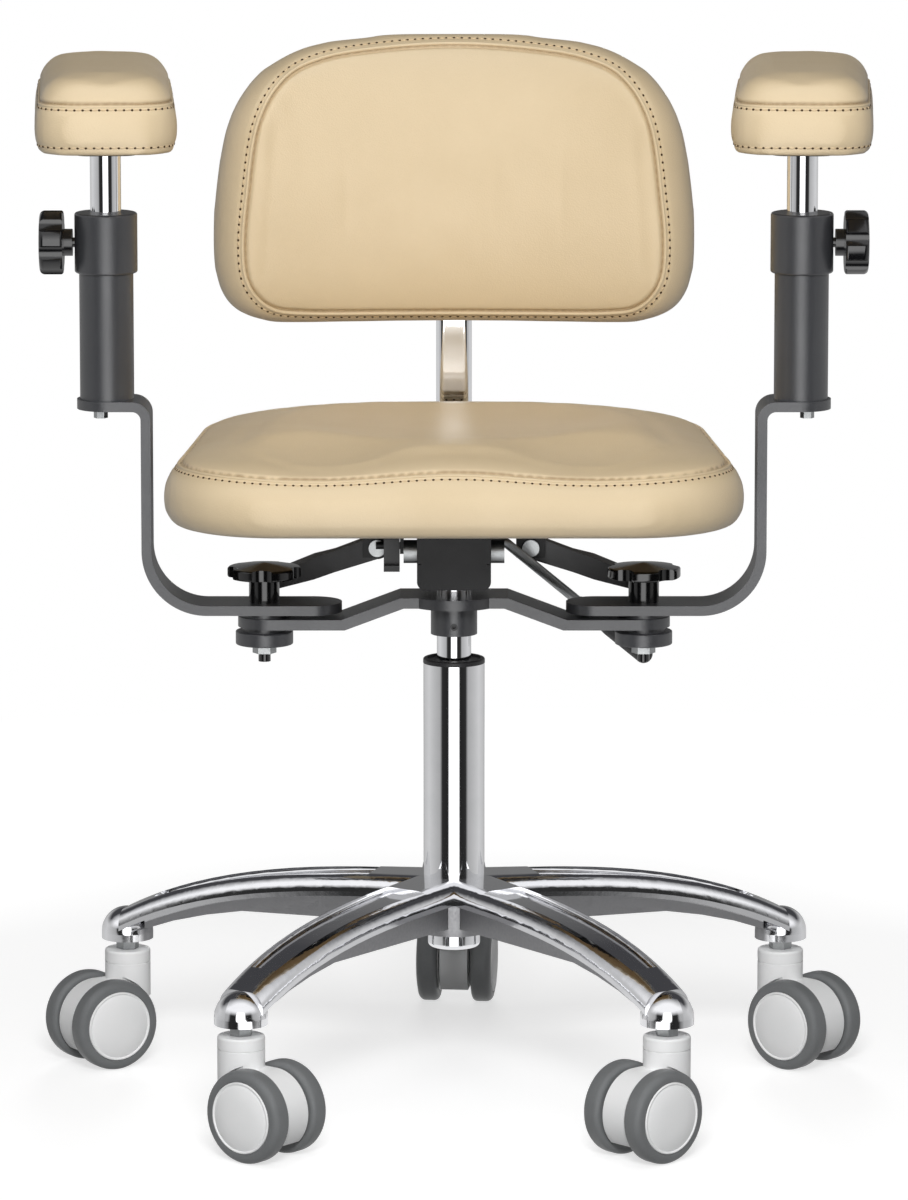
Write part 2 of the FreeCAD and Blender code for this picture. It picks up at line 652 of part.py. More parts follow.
def column():
    """Stand tube, guide bush, hub cap and thrust bearing round the lift."""
    eye, bore, floor = "rod_dia / 2 + run_fit", "tube_dia / 2 - tube_wall", "tube_bottom + tube_floor"
    piece(turned("column_tube", [
        (eye, "tube_bottom"), ("tube_dia / 2", "tube_bottom"), ("tube_dia / 2", "tube_top"),
        (bore, "tube_top"), (bore, floor), (eye, floor)]), "column_tube")
    inner = "lift_dia / 2 + run_fit"
    piece(turned("guide_bush", [
        (inner, "tube_top - bush_length"), (bore, "tube_top - bush_length"), (bore, "tube_top"),
        ("bush_flange_dia / 2", "tube_top"),
        ("bush_flange_dia / 2", "bush_top", "bush_recess"), ("bush_flange_dia / 2 - bush_lip", "bush_top"),
        ("bush_flange_dia / 2 - bush_lip", "bush_top - bush_recess"), (inner, "bush_top - bush_recess")]),
        "guide_bush")
    cap = turned("hub_cap", [
        ("rod_dia", "hub_bottom - cap_height"), ("cap_dia / 2", "hub_bottom - cap_height", "knob_round"),
        ("cap_dia / 2", "hub_bottom"), ("cap_dia / 2 - cap_wall", "hub_bottom"),
        ("cap_dia / 2 - cap_wall", "hub_bottom - cap_height + cap_wall"),
        ("rod_dia", "hub_bottom - cap_height + cap_wall")])
    piece(cap, "hub_cap")
    washer = "bearing_height / 4"
    races = [turned(f"race_{i}", [
        ("rod_dia / 2 + clearance", low), (f"bearing_dia / 2 - {inset}", low),
        (f"bearing_dia / 2 - {inset}", high), ("rod_dia / 2 + clearance", high)])
        for i, (low, high, inset) in enumerate((
            (floor, f"{floor} + {washer}", 0), (f"{floor} + {washer}", f"{floor} + 3 * {washer}", 1),
            (f"{floor} + 3 * {washer}", f"{floor} + bearing_height", 0)))]
    group("thrust_bearing", races)


def lift():
    """Piston rod with its piston head, and the lift cylinder that slides over it."""
    bore = "lift_dia / 2 - lift_wall"
    rod_end, shoulder_top = "hub_bottom - cap_height / 2", "shoulder_bottom + rod_shoulder"
    piston_top = "piston_bottom + piston_height"
    piece(turned("piston_rod", [
        ("0", rod_end), ("rod_dia / 2", rod_end), ("rod_dia / 2", "shoulder_bottom"),
        ("rod_shoulder_dia / 2", "shoulder_bottom"), ("rod_shoulder_dia / 2", shoulder_top),
        ("rod_dia / 2", shoulder_top), ("rod_dia / 2", "piston_bottom"),
        (f"{bore} - run_fit", "piston_bottom"), (f"{bore} - run_fit", piston_top), ("0", piston_top)]),
        "piston_rod")
    hole, eye = "pin_dia / 2 + run_fit", "rod_dia / 2 + run_fit"
    neck, plug = "lift_top - lift_neck", "lift_bottom + lift_plug"
    seal = f"{neck} + lift_seal"
    piece(turned("lift_cylinder", [
        (eye, "lift_bottom"), ("lift_dia / 2", "lift_bottom"), ("lift_dia / 2", "lift_top"),
        (hole, "lift_top"),
        (hole, seal), ("0", seal), ("0", neck), (bore, neck), (bore, plug), (eye, plug)]), "lift_cylinder")
    pin_bottom = "lever_z - lever_rod_dia / 2 - clearance - pin_length"
    piece(rod("release_pin", "pin_dia", "pin_length", ("0", "0", pin_bottom)), "release_pin")


def arm_carrier():
    """Bent carrier plate with two wings, welded to a collar on the lift cylinder."""
    end = "pivot_x + wing_end"
    upper = [(end, "wing_top"), ("wing_start", "wing_top"), ("ring_flat", "ring_top")]
    lower = [("ring_flat - 3", "ring_bottom"), ("wing_start - 3", "wing_bottom"), (end, "wing_bottom")]
    mirrored = [(f"-({x})", z) for x, z in upper[::-1]]
    under = [(f"-({x})", z) for x, z in lower[::-1]]
    bent = padded("carrier_bend", "XZ_Plane", upper + mirrored + under + lower, "ring_dia")
    round_end = "bar_width / 2 - 0.5"
    plan = padded("carrier_plan", "XY_Plane", [
        (f"-({end})", "-bar_width / 2", round_end), (end, "-bar_width / 2", round_end),
        (end, "bar_width / 2", round_end), (f"-({end})", "bar_width / 2", round_end)], "4 * ring_top")
    disc = rod("carrier_disc", "ring_dia", "2 * ring_top", ("0", "0", "-ring_top / 2"))
    plate = common("carrier_plate", bent, fuse("carrier_outline", plan, disc))
    foot = ("0", "0", "collar_bottom")
    collar = rod("carrier_collar", "collar_dia", "collar_height + plate_thick / 2", foot)
    bore = rod("carrier_bore", "lift_dia", "2 * collar_height + plate_thick", foot)
    screw_z = "collar_bottom + collar_height / 3"
    to_front = Rotation(Vector(1, 0, 0), 90)
    tap = rod("carrier_tap", "set_screw_dia", "collar_dia", ("0", "-lift_dia / 4", screw_z), to_front)
    holes = [rod(f"carrier_hole_{side}", "stud_dia + 2 * run_fit", "4 * plate_thick",
                 (f"{sign} * pivot_x", "0", "wing_bottom - plate_thick")) for side, sign in SIDES.items()]
    piece(cut("arm_carrier", fuse("carrier_weldment", plate, collar), bore, tap, *holes), "arm_carrier")
    washers, discs, fasteners = [], [], []
    stud_hole = "stud_dia / 2 + run_fit"
    for side, sign in SIDES.items():
        spot = (f"{sign} * pivot_x", "0", "0")
        for name, width, low, high, into in (
                ("washer", "washer_dia", "wing_top", "bracket_bottom", washers),
                ("spacer", "spacer_dia", "spacer_bottom", "wing_bottom", washers),
                ("disc", "disc_dia", "disc_bottom", "spacer_bottom", discs)):
            edge = [(f"{width} / 2", low), (f"{width} / 2", high)]
            if name == "disc":
                edge = [corner + ("edge_round / 2",) for corner in edge]
            body = turned(f"{name}_{side}", [(stud_hole, low)] + edge + [(stud_hole, high)])
            into.append(place(body, spot))
        nut = hexagon(f"nut_{side}", "nut_corner", "nut_height", (f"{sign} * pivot_x", "0", "nut_bottom"))
        thread = rod(f"nut_thread_{side}", "stud_dia + 2 * run_fit", "2 * nut_height",
                     (f"{sign} * pivot_x", "0", "nut_bottom - nut_height / 2"))
        fasteners.append(cut(f"pivot_nut_{side}", nut, thread))
    grub = rod("set_screw", "set_screw_dia", "collar_dia / 2 - lift_dia / 2 - clearance",
               ("0", "-lift_dia / 2", screw_z), to_front)
    socket = rod("set_screw_socket", "set_screw_dia / 2", "collar_dia / 2",
                 ("0", "-lift_dia / 2 - 2", screw_z), to_front)
    fasteners.append(cut("grub_screw", grub, socket))
    fasteners.append(rod("lever_pin", "lever_rod_dia / 2", "4 * lever_rod_dia",
                         ("lever_fulcrum", "2 * lever_rod_dia", "lever_z"), to_front))
    group("pivot_washers", washers)
    group("clamp_discs", discs)
    group("carrier_fasteners", fasteners)


def star_knobs():
    """Star knob with a moulded-in stud, one for each arm pivot."""
    neck, stud_top, crown = "star_neck_dia / 2", "star_bottom + star_height / 2", "star_bottom + star_height"
    body = turned("star_head", [
        ("stud_dia / 2", "bracket_top"), (neck, "bracket_top"), (neck, "star_bottom"),
        ("star_dia / 2", "star_bottom", "edge_round"),
        ("star_dia / 2", f"{crown} - star_dome", "edge_round"), ("0", crown),
        ("0", stud_top), ("stud_dia / 2", stud_top)])
    sketch = new_sketch(body, "XY_Plane", along="star_bottom")
    ring(sketch, "star_dia / 2 + star_scallop / 2", "0", "star_scallop")
    hollow = body.newObject("PartDesign::Pocket", "star_hollow")
    hollow.Profile = sketch
    hollow.Reversed = True
    tie(hollow, Length="2 * star_height")
    repeat(body, [hollow], 5)
    stud = rod("pivot_stud", "stud_dia", f"{stud_top} - stud_bottom", ("0", "0", "stud_bottom"))
    for side, sign in SIDES.items():
        turn = Rotation(UP, sign * worth("star_turn"))
        group(f"star_knob_{side}", [body, stud], (f"{sign} * pivot_x", "0", "0"), turn)


def arm_supports():
    """Arm bracket, sleeve, post and their knob and screw, made once and placed on both sides."""
    inner, outer = "pivot_x - inner_reach", "sleeve_x + outer_reach"
    bracket = padded("bracket_bar", "XZ_Plane", [
        (inner, "bracket_bottom"), ("bar_x", "bracket_bottom", "lower_bend + bar_thick"),
        ("bar_x", "arm_top - bar_thick", "upper_bend"), (outer, "arm_top - bar_thick"), (outer, "arm_top"),
        ("bar_x - bar_thick", "arm_top", "upper_bend + bar_thick"),
        ("bar_x - bar_thick", "bracket_top", "lower_bend"), (inner, "bracket_top")], "bar_width")
    limits = (worth(inner), worth(outer))
    round_edges(bracket, "bar_width / 2 - 0.5", lambda edge: (
        edge.BoundBox.ZLength > 1 and edge.BoundBox.XLength < 0.01
        and min(abs(edge.BoundBox.XMin - limit) for limit in limits) < 0.01))
    drill(bracket, "XY_Plane", [
        ("pivot_x", "0", "stud_dia / 2 + run_fit"), ("sleeve_x + screw_out", "0", "screw_dia / 2")])
    bore = "post_dia / 2 + run_fit"
    tube = turned("sleeve_tube", [
        ("0", "arm_top"), ("sleeve_dia / 2", "arm_top"), ("sleeve_dia / 2", "clamp_bottom"),
        ("clamp_dia / 2", "clamp_bottom", "edge_round"), ("clamp_dia / 2", "clamp_top", "edge_round"),
        (bore, "clamp_top"),
        (bore, "arm_top + sleeve_floor"), ("0", "arm_top + sleeve_floor")])
    outward = Rotation(Vector(0, 1, 0), 90)
    tap = rod("sleeve_tap", "clamp_stud_dia + 2 * run_fit", "clamp_dia", ("0", "0", "clamp_axis"), outward)
    hole = rod("sleeve_hole", "screw_dia", "3 * sleeve_floor", ("screw_out", "0", "arm_top - sleeve_floor"))
    sleeve = cut("sleeve_tapped", tube, tap, hole)
    post_bottom = "plate_bottom - post_length"
    inside = "post_dia / 2 - post_wall"
    post = turned("post_tube", [
        (inside, post_bottom), ("post_dia / 2", post_bottom), ("post_dia / 2", "plate_bottom"),
        (inside, "plate_bottom")])
    head = hexagon("screw_hex", "screw_dia * 0.72", "screw_head",
                   ("0", "0", "arm_top - bar_thick - screw_head"))
    shank = rod("screw_shank", "screw_dia", "bar_thick + sleeve_floor", ("0", "0", "arm_top - bar_thick"))
    screw = fuse("screw", head, shank)
    face = "clamp_dia / 2 + clamp_stud_show"
    head_start = f"{face} + clamp_neck"
    head_end = f"{head_start} + clamp_knob_thick"
    knob = turned("clamp_head", [
        ("clamp_stud_dia / 2", face), ("clamp_neck_dia / 2", face), ("clamp_neck_dia / 2", head_start),
        ("clamp_knob_dia / 2", head_start, "edge_round"),
        ("clamp_knob_dia / 2", head_end, "knob_round"), ("0", head_end),
        ("0", head_start), ("clamp_stud_dia / 2", head_start)])
    sketch = new_sketch(knob, "XY_Plane", along=head_start)
    ring(sketch, "clamp_knob_dia / 2 + clamp_flute * 0.6", "0", "clamp_flute")
    flute = knob.newObject("PartDesign::Pocket", "clamp_flute")
    flute.Profile = sketch
    flute.Reversed = True
    tie(flute, Length="2 * clamp_knob_thick")
    repeat(knob, [flute], 7)
    stud_start = "post_dia / 2 + clearance"
    stud = rod("clamp_stud", "clamp_stud_dia", f"{head_start} - ({stud_start})", ("0", "0", stud_start))
    for side, sign in SIDES.items():
        half_turn = Rotation(UP, 0 if sign > 0 else 180)
        spot = (f"{sign} * sleeve_x", "0", "0")
        group(f"arm_bracket_{side}", [bracket], turn=half_turn)
        group(f"arm_sleeve_{side}", [sleeve], spot, half_turn)
        group(f"arm_post_{side}", [post], spot)
        group(f"sleeve_screw_{side}", [screw], (f"{sign} * (sleeve_x + screw_out)", "0", "0"))
        group(f"clamp_knob_{side}", [knob, stud], (f"{sign} * sleeve_x", "0", "clamp_axis"),
              Rotation(Vector(0, 1, 0), 90 * sign))


def level_loft(name, rings):
    """A cushion lofted through level outlines, each (corners, height)."""
    sections = [rounded_wire(corners, lift) for corners, lift in rings]
    return formed(name, Part.makeLoft(sections, True, False))


def arm_pads():
    """Upholstered arm pads on steel plates, with a drawn-in side and a crowned top."""
    half, front, back = worth("pad_width / 2"), -worth("pad_lead"), worth("pad_length - pad_lead")
    corner = worth("pad_corner")

    def edge(inset):
        radius = corner * (1 - inset / half)
        return [(-half + inset, front + inset, radius), (half - inset, front + inset, radius),
                (half - inset, back - inset, radius), (-half + inset, back - inset, radius)]

    low, seam, crown = worth("pad_bottom"), worth("pad_seam"), worth("pad_crown")
    step = worth("pad_edge")
    form = level_loft("pad_form", [
        (edge(step), low), (edge(0.2 * step), low + 0.2 * seam), (edge(0), low + 0.6 * seam),
        (edge(0.75 * step), low + seam), (edge(2.25 * step), low + seam + 0.65 * crown),
        (edge(6.5 * step), low + seam + crown)])
    side = "pad_width / 2 - pad_plate_inset"
    start, end = "-pad_lead + pad_plate_inset", "pad_length - pad_lead - pad_plate_inset"
    plate = padded("pad_steel", "XY_Plane", [
        (f"-({side})", start, "pad_plate_corner"), (side, start, "pad_plate_corner"),
        (side, end, "pad_plate_corner"), (f"-({side})", end, "pad_plate_corner")], "pad_plate_thick")
    place(plate, ("0", "0", "plate_bottom + pad_plate_thick / 2"))
    bore, low_end = "post_dia / 2 + run_fit", "plate_bottom - pad_socket"
    socket = turned("pad_socket", [
        (bore, low_end), ("pad_socket_dia / 2", low_end), ("pad_socket_dia / 2", "plate_bottom"),
        (bore, "plate_bottom")])
    mount = fuse("pad_mount", plate, socket)
    for name, sign in SIDES.items():
        spot = (f"{sign} * sleeve_x", "0", "0")
        toe_in = Rotation(UP, -sign * worth("pad_toe"))
        group(f"pad_cushion_{name}", [form], spot, toe_in)
        group(f"pad_plate_{name}", [mount], spot, toe_in)


def tilt_mechanism():
    """Tilt housing on the lift, and the seat channel that tilts on the axle over it."""
    across = Rotation(Vector(0, 1, 0), 90)
    front, back = "-housing_front", "housing_back"
    block_low = padded("housing_block", "YZ_Plane", [
        (front, "housing_bottom"), (back, "housing_bottom"), (back, "shoulder"), (front, "shoulder")],
        "housing_width")
    floor, flank = worth("housing_bottom"), worth("housing_width / 2")
    round_edges(block_low, "housing_round", lambda edge: (
        abs(edge.CenterOfMass.z - floor) < 0.01 and abs(abs(edge.CenterOfMass.x) - flank) < 0.01))
    tongue = padded("housing_tongue", "YZ_Plane", [
        (front, "shoulder - 1"), (back, "shoulder - 1"), (back, "housing_top - housing_fall"),
        ("5", "housing_top"), (front, "housing_top")], "tongue_width")
    housing = fuse("housing_casting", block_low, tongue)
    wide = "2 * housing_width"
    socket = rod("housing_socket", "lift_dia", "lift_entry", ("0", "0", "housing_bottom"))
    guide = rod("housing_guide", "pin_dia + 2 * run_fit", "housing_height", ("0", "0", "lift_top - 1"))
    slot = block("housing_slot", ("-2 * lever_rod_dia", "-lever_rod_dia", "lever_z - lever_rod_dia"),
                 ("housing_width", "lever_rod_dia", "housing_top + 1"))
    axle_hole = rod("housing_axle_hole", "axle_dia + 2 * run_fit", wide,
                    ("-housing_width", "tilt_y", "tilt_z"), across)
    pin_hole = rod("housing_pin_hole", "lever_rod_dia / 2", "4 * lever_rod_dia",
                   ("lever_fulcrum", "2 * lever_rod_dia", "lever_z"), Rotation(Vector(1, 0, 0), 90))
    piece(cut("tilt_housing", housing, socket, guide, slot, axle_hole, pin_hole), "tilt_housing")

    hinge_floor = "hinge_z - yoke_dia / 2 - channel_wall"
    walls = padded("channel_walls", "YZ_Plane", [
        ("-channel_front", "skirt_bottom"), ("tilt_y", "skirt_bottom"), ("housing_back", "housing_top"),
        ("hinge_y - yoke_dia", "housing_top"), ("hinge_y - yoke_dia / 2", hinge_floor),
        ("channel_back", hinge_floor), ("channel_back", "roof"), ("-channel_front", "roof")], "channel_width")
    inner = "channel_width / 2 - channel_wall"
    inside = block("channel_inside", (f"-({inner})", "-channel_front + channel_wall", "housing_bottom"),
                   (inner, "channel_back + channel_wall", "roof"))
    window = block("channel_window", ("0", "tilt_y + axle_dia", "housing_bottom"),
                   ("channel_width", "2 * lever_rod_dia", "roof - 2"))
    seat_plate = block("seat_plate", ("-flange_width / 2", "-flange_front", "roof"),
                       ("flange_width / 2", "channel_back", "board_bottom"))
    ears = []
    for side, sign in SIDES.items():
        start, end = (f"{sign} * lever_ear_x {way} lever_ear_width / 2" for way in "-+")
        ears.append(block(f"ear_{side}", (start, "lever_ear_y", "ear_z - lever_bolt_dia"),
                          (end, "ear_back", "roof")))
    lug_face = "latch_x - latch_width / 2 - clearance"
    lug = block("latch_lug", (f"-({lug_face})", "latch_y - latch_pin_dia", "latch_z - latch_pin_dia"),
                (f"channel_wall - ({lug_face})", "latch_y + latch_pin_dia", "roof"))
    latch_pin = rod("latch_pin", "latch_pin_dia", f"latch_x + latch_width + channel_wall - ({lug_face})",
                    ("-latch_x - latch_width", "latch_y", "latch_z"), across)
    hangers = [lug, latch_pin, *ears]
    steel = fuse("channel_steel", cut("channel_shell", walls, inside, window), seat_plate, *hangers)
    holes = [rod(f"channel_axle_hole_{name}", "axle_dia", wide, ("-housing_width", y, z), across)
             for name, y, z in (("tilt", "tilt_y", "tilt_z"), ("hinge", "hinge_y", "hinge_z"))]
    to_back = Rotation(Vector(1, 0, 0), -90)
    for side, sign in SIDES.items():
        holes.append(rod(f"ear_hole_{side}", "lever_bolt_dia", "4 * flange_thick",
                         (f"{sign} * lever_ear_x", "lever_ear_y - flange_thick", "ear_z"), to_back))
    piece(cut("seat_channel", steel, *holes), "seat_channel")

    axle = rod("tilt_axle", "axle_dia", "channel_width", ("-channel_width / 2", "tilt_y", "tilt_z"), across)
    caps = [rod(f"axle_cap_{side}", "axle_boss_dia", "axle_boss", (start, "tilt_y", "tilt_z"), across)
            for side, start in (("left", "-channel_width / 2 - axle_boss"), ("right", "channel_width / 2"))]
    pins = [fuse("tilt_axle_capped", axle, *caps)]
    pins.append(rod("hinge_axle", "axle_dia", "channel_width + axle_dia",
                    ("-channel_width / 2 - axle_dia / 2", "hinge_y", "hinge_z"), across))
    for side, sign in SIDES.items():
        shank = rod(f"bolt_shank_{side}", "lever_bolt_dia", "lever_bolt_length",
                    (f"{sign} * lever_ear_x", "lever_ear_y", "ear_z"), to_back)
        dome = rod(f"bolt_head_{side}", "lever_bolt_dia * 1.75", "lever_bolt_head",
                   (f"{sign} * lever_ear_x", "lever_ear_y - lever_bolt_head", "ear_z"), to_back)
        pins.append(fuse(f"lever_bolt_{side}", shank, dome))
    group("mechanism_pins", pins)


def paddle_levers():
    """Two paddle levers that rock on the side bolts, and the latch tab on its pin."""
    reach, drop, width = worth("paddle_reach - lever_ear_x"), worth("paddle_drop"), worth("paddle_width")
    start = worth("ear_back + clearance")
    root, thick = worth("lever_bolt_dia"), worth("paddle_thick")

    def section(share, breadth, height):
        low, high = start, start + breadth
        middle = worth("ear_z") - drop * share
        corners = [(low, middle - height / 2), (high, middle - height / 2),
                   (high, middle + height / 2), (low, middle + height / 2)]
        points = [Vector(worth("lever_ear_x") + reach * share, y, z) for y, z in corners]
        return Part.makePolygon(points + points[:1])

    to_back = Rotation(Vector(1, 0, 0), -90)
    for name, sign in (("tilt_lever", -1), ("recline_lever", 1)):
        sections = [section(0.0, 2 * root, 2.5 * root), section(0.4, 2 * root, 2.2 * root),
                    section(0.6, 0.85 * width, 1.5 * thick), section(1.0, width, thick)]
        blade = Part.makeLoft(sections, True, True)
        if sign < 0:
            blade = blade.mirror(Vector(), Vector(1, 0, 0))
        spot = (f"{sign} * lever_ear_x", "ear_back + clearance", "ear_z")
        eye = rod(f"{name}_eye", "lever_bolt_dia * 2.5", "lever_bolt_dia * 2", spot, to_back)
        hole = rod(f"{name}_hole", "lever_bolt_dia + 2 * run_fit", "8 * lever_bolt_dia", spot, to_back)
        piece(cut(name, fuse(f"{name}_blade", formed(f"{name}_paddle", blade), eye), hole), name)
    start, end = (f"-latch_x {way} latch_width / 2" for way in "-+")
    tab = block("latch_strip", (start, "latch_y - latch_depth / 2", "latch_z - latch_length"),
                (end, "latch_y + latch_depth / 2", "latch_z + latch_head"))
    toe = block("latch_toe", (start, "latch_y - latch_toe", "latch_z - latch_length"),
                (end, "latch_y", "latch_z - latch_length + latch_toe_height"))
    hole = rod("latch_hole", "latch_pin_dia + 2 * run_fit", "3 * latch_width",
               ("-latch_x - 1.5 * latch_width", "latch_y", "latch_z"), Rotation(Vector(0, 1, 0), 90))
    piece(cut("latch_tab", fuse("latch_hook", tab, toe), hole), "latch_tab")


def lift_lever():
    """Bent lift lever over the release pin, with a grip on its far end."""
    height = worth("lever_z")
    inner = Vector(-worth("lever_rod_dia"), 0, height)
    elbow = Vector(worth("lever_elbow"), 0, height)
    tip = Vector(worth("lever_tip_x"), worth("lever_tip_y"), height - worth("lever_tip_fall"))
    radius, bend = worth("lever_rod_dia / 2"), worth("lever_bend")
    start, end, centre = corner_arc(inner, elbow, tip, bend)
    middle = centre + (elbow - centre).normalize() * bend
    outward = (tip - elbow).normalize()
    grip_start = tip - outward * worth("grip_length")
    rod_end = grip_start + outward * worth("grip_length / 3")
    path = Part.Wire([Part.LineSegment(inner, start).toShape(), Part.Arc(start, middle, end).toShape(),
                      Part.LineSegment(end, rod_end).toShape()])
    section = Part.Wire(Part.Circle(inner, Vector(1, 0, 0), radius).toShape())
    bar = path.makePipeShell([section], True, False)
    hole = rod("lever_pin_hole", "lever_rod_dia / 2 + 2 * run_fit", "4 * lever_rod_dia",
               ("lever_fulcrum", "2 * lever_rod_dia", "lever_z"), Rotation(Vector(1, 0, 0), 90))
    piece(cut("lift_lever_rod", formed("lever_wire", bar), hole), "lift_lever_rod")
    grip = turned("grip_turning", [
        ("lever_rod_dia / 2", "0"), ("grip_dia / 3", "0"), ("grip_dia / 2", "grip_length * 0.45"),
        ("grip_dia / 2", "grip_length", "grip_dia * 0.45"), ("0", "grip_length"), ("0", "grip_length / 3"),
        ("lever_rod_dia / 2", "grip_length / 3")])
    grip.Placement = FreeCAD.Placement(grip_start, Rotation(UP, outward))
    piece(grip, "lift_lever_grip")


def seat():
    """Seat board and the upholstered seat with its hollow and two thigh channels."""
    front_half, rear_half = worth("seat_front_width / 2"), worth("seat_rear_width / 2")
    front, back = -worth("seat_front"), worth("seat_back")
    front_corner, rear_corner = worth("seat_front_corner"), worth("seat_rear_corner")

    def edge(inset):
        return [(-front_half + inset, front + inset, front_corner - 0.6 * inset),
                (front_half - inset, front + inset, front_corner - 0.6 * inset),
                (rear_half - inset, back - inset, rear_corner - 0.6 * inset),
                (-rear_half + inset, back - inset, rear_corner - 0.6 * inset)]

    low, seam, crown = worth("seat_bottom"), worth("seat_seam"), worth("seat_crown")
    step = worth("seat_edge")
    form = level_loft("seat_form", [
        (edge(step), low), (edge(0.3 * step), low + 0.14 * seam), (edge(0), low + 0.42 * seam),
        (edge(0.3 * step), low + 0.78 * seam), (edge(step), low + seam),
        (edge(2.6 * step), low + seam + 0.65 * crown), (edge(5.4 * step), low + seam + crown)])
    top = "seat_seam_top + seat_crown"
    hollows = []
    spots = (("dish", "dish", "0"), ("left", "thigh", "-thigh_x"), ("right", "thigh", "thigh_x"))
    for name, kind, x in spots:
        bowl = doc.addObject("Part::Ellipsoid", f"hollow_{name}")
        tie(bowl, Radius1="hollow_round", Radius2=f"{kind}_width / 2", Radius3=f"{kind}_length / 2")
        hollows.append(place(bowl, (x, f"{kind}_y", f"{top} + hollow_round - {kind}_depth")))
    board_front, board_back = "-seat_front + board_inset", "seat_back - board_inset"
    front_side, rear_side = "seat_front_width / 2 - board_inset", "seat_rear_width / 2 - board_inset"
    front_round, rear_round = "seat_front_corner - board_inset / 2", "seat_rear_corner - board_inset / 2"
    board = padded("seat_ply", "XY_Plane", [
        (f"-({front_side})", board_front, front_round), (front_side, board_front, front_round),
        (rear_side, board_back, rear_round), (f"-({rear_side})", board_back, rear_round)], "board_thick")
    place(board, ("0", "0", "board_bottom + board_thick / 2"))
    piece(board, "seat_board")
    piece(cut("seat_cushion", form, *hollows, board), "seat_cushion")


def bow_wire(lift, half, front, back, seam):
    """A level section of the backrest, curved round the sitter."""
    wrap = 2 * worth("back_wrap")

    def spot(x, y):
        return Vector(x, y - x * x / wrap, lift)

    inner, outer, middle = half - seam, half - seam / 6, (front + back) / 2
    right, left = spot(half, middle), spot(-half, middle)
    edges = [Part.Arc(spot(-inner, front), spot(0, front), spot(inner, front)),
             Part.Arc(spot(inner, front), right, spot(outer, back)),
             Part.Arc(spot(outer, back), spot(0, back), spot(-outer, back)),
             Part.Arc(spot(-outer, back), left, spot(-inner, front))]
    return Part.Wire([edge.toShape() for edge in edges])


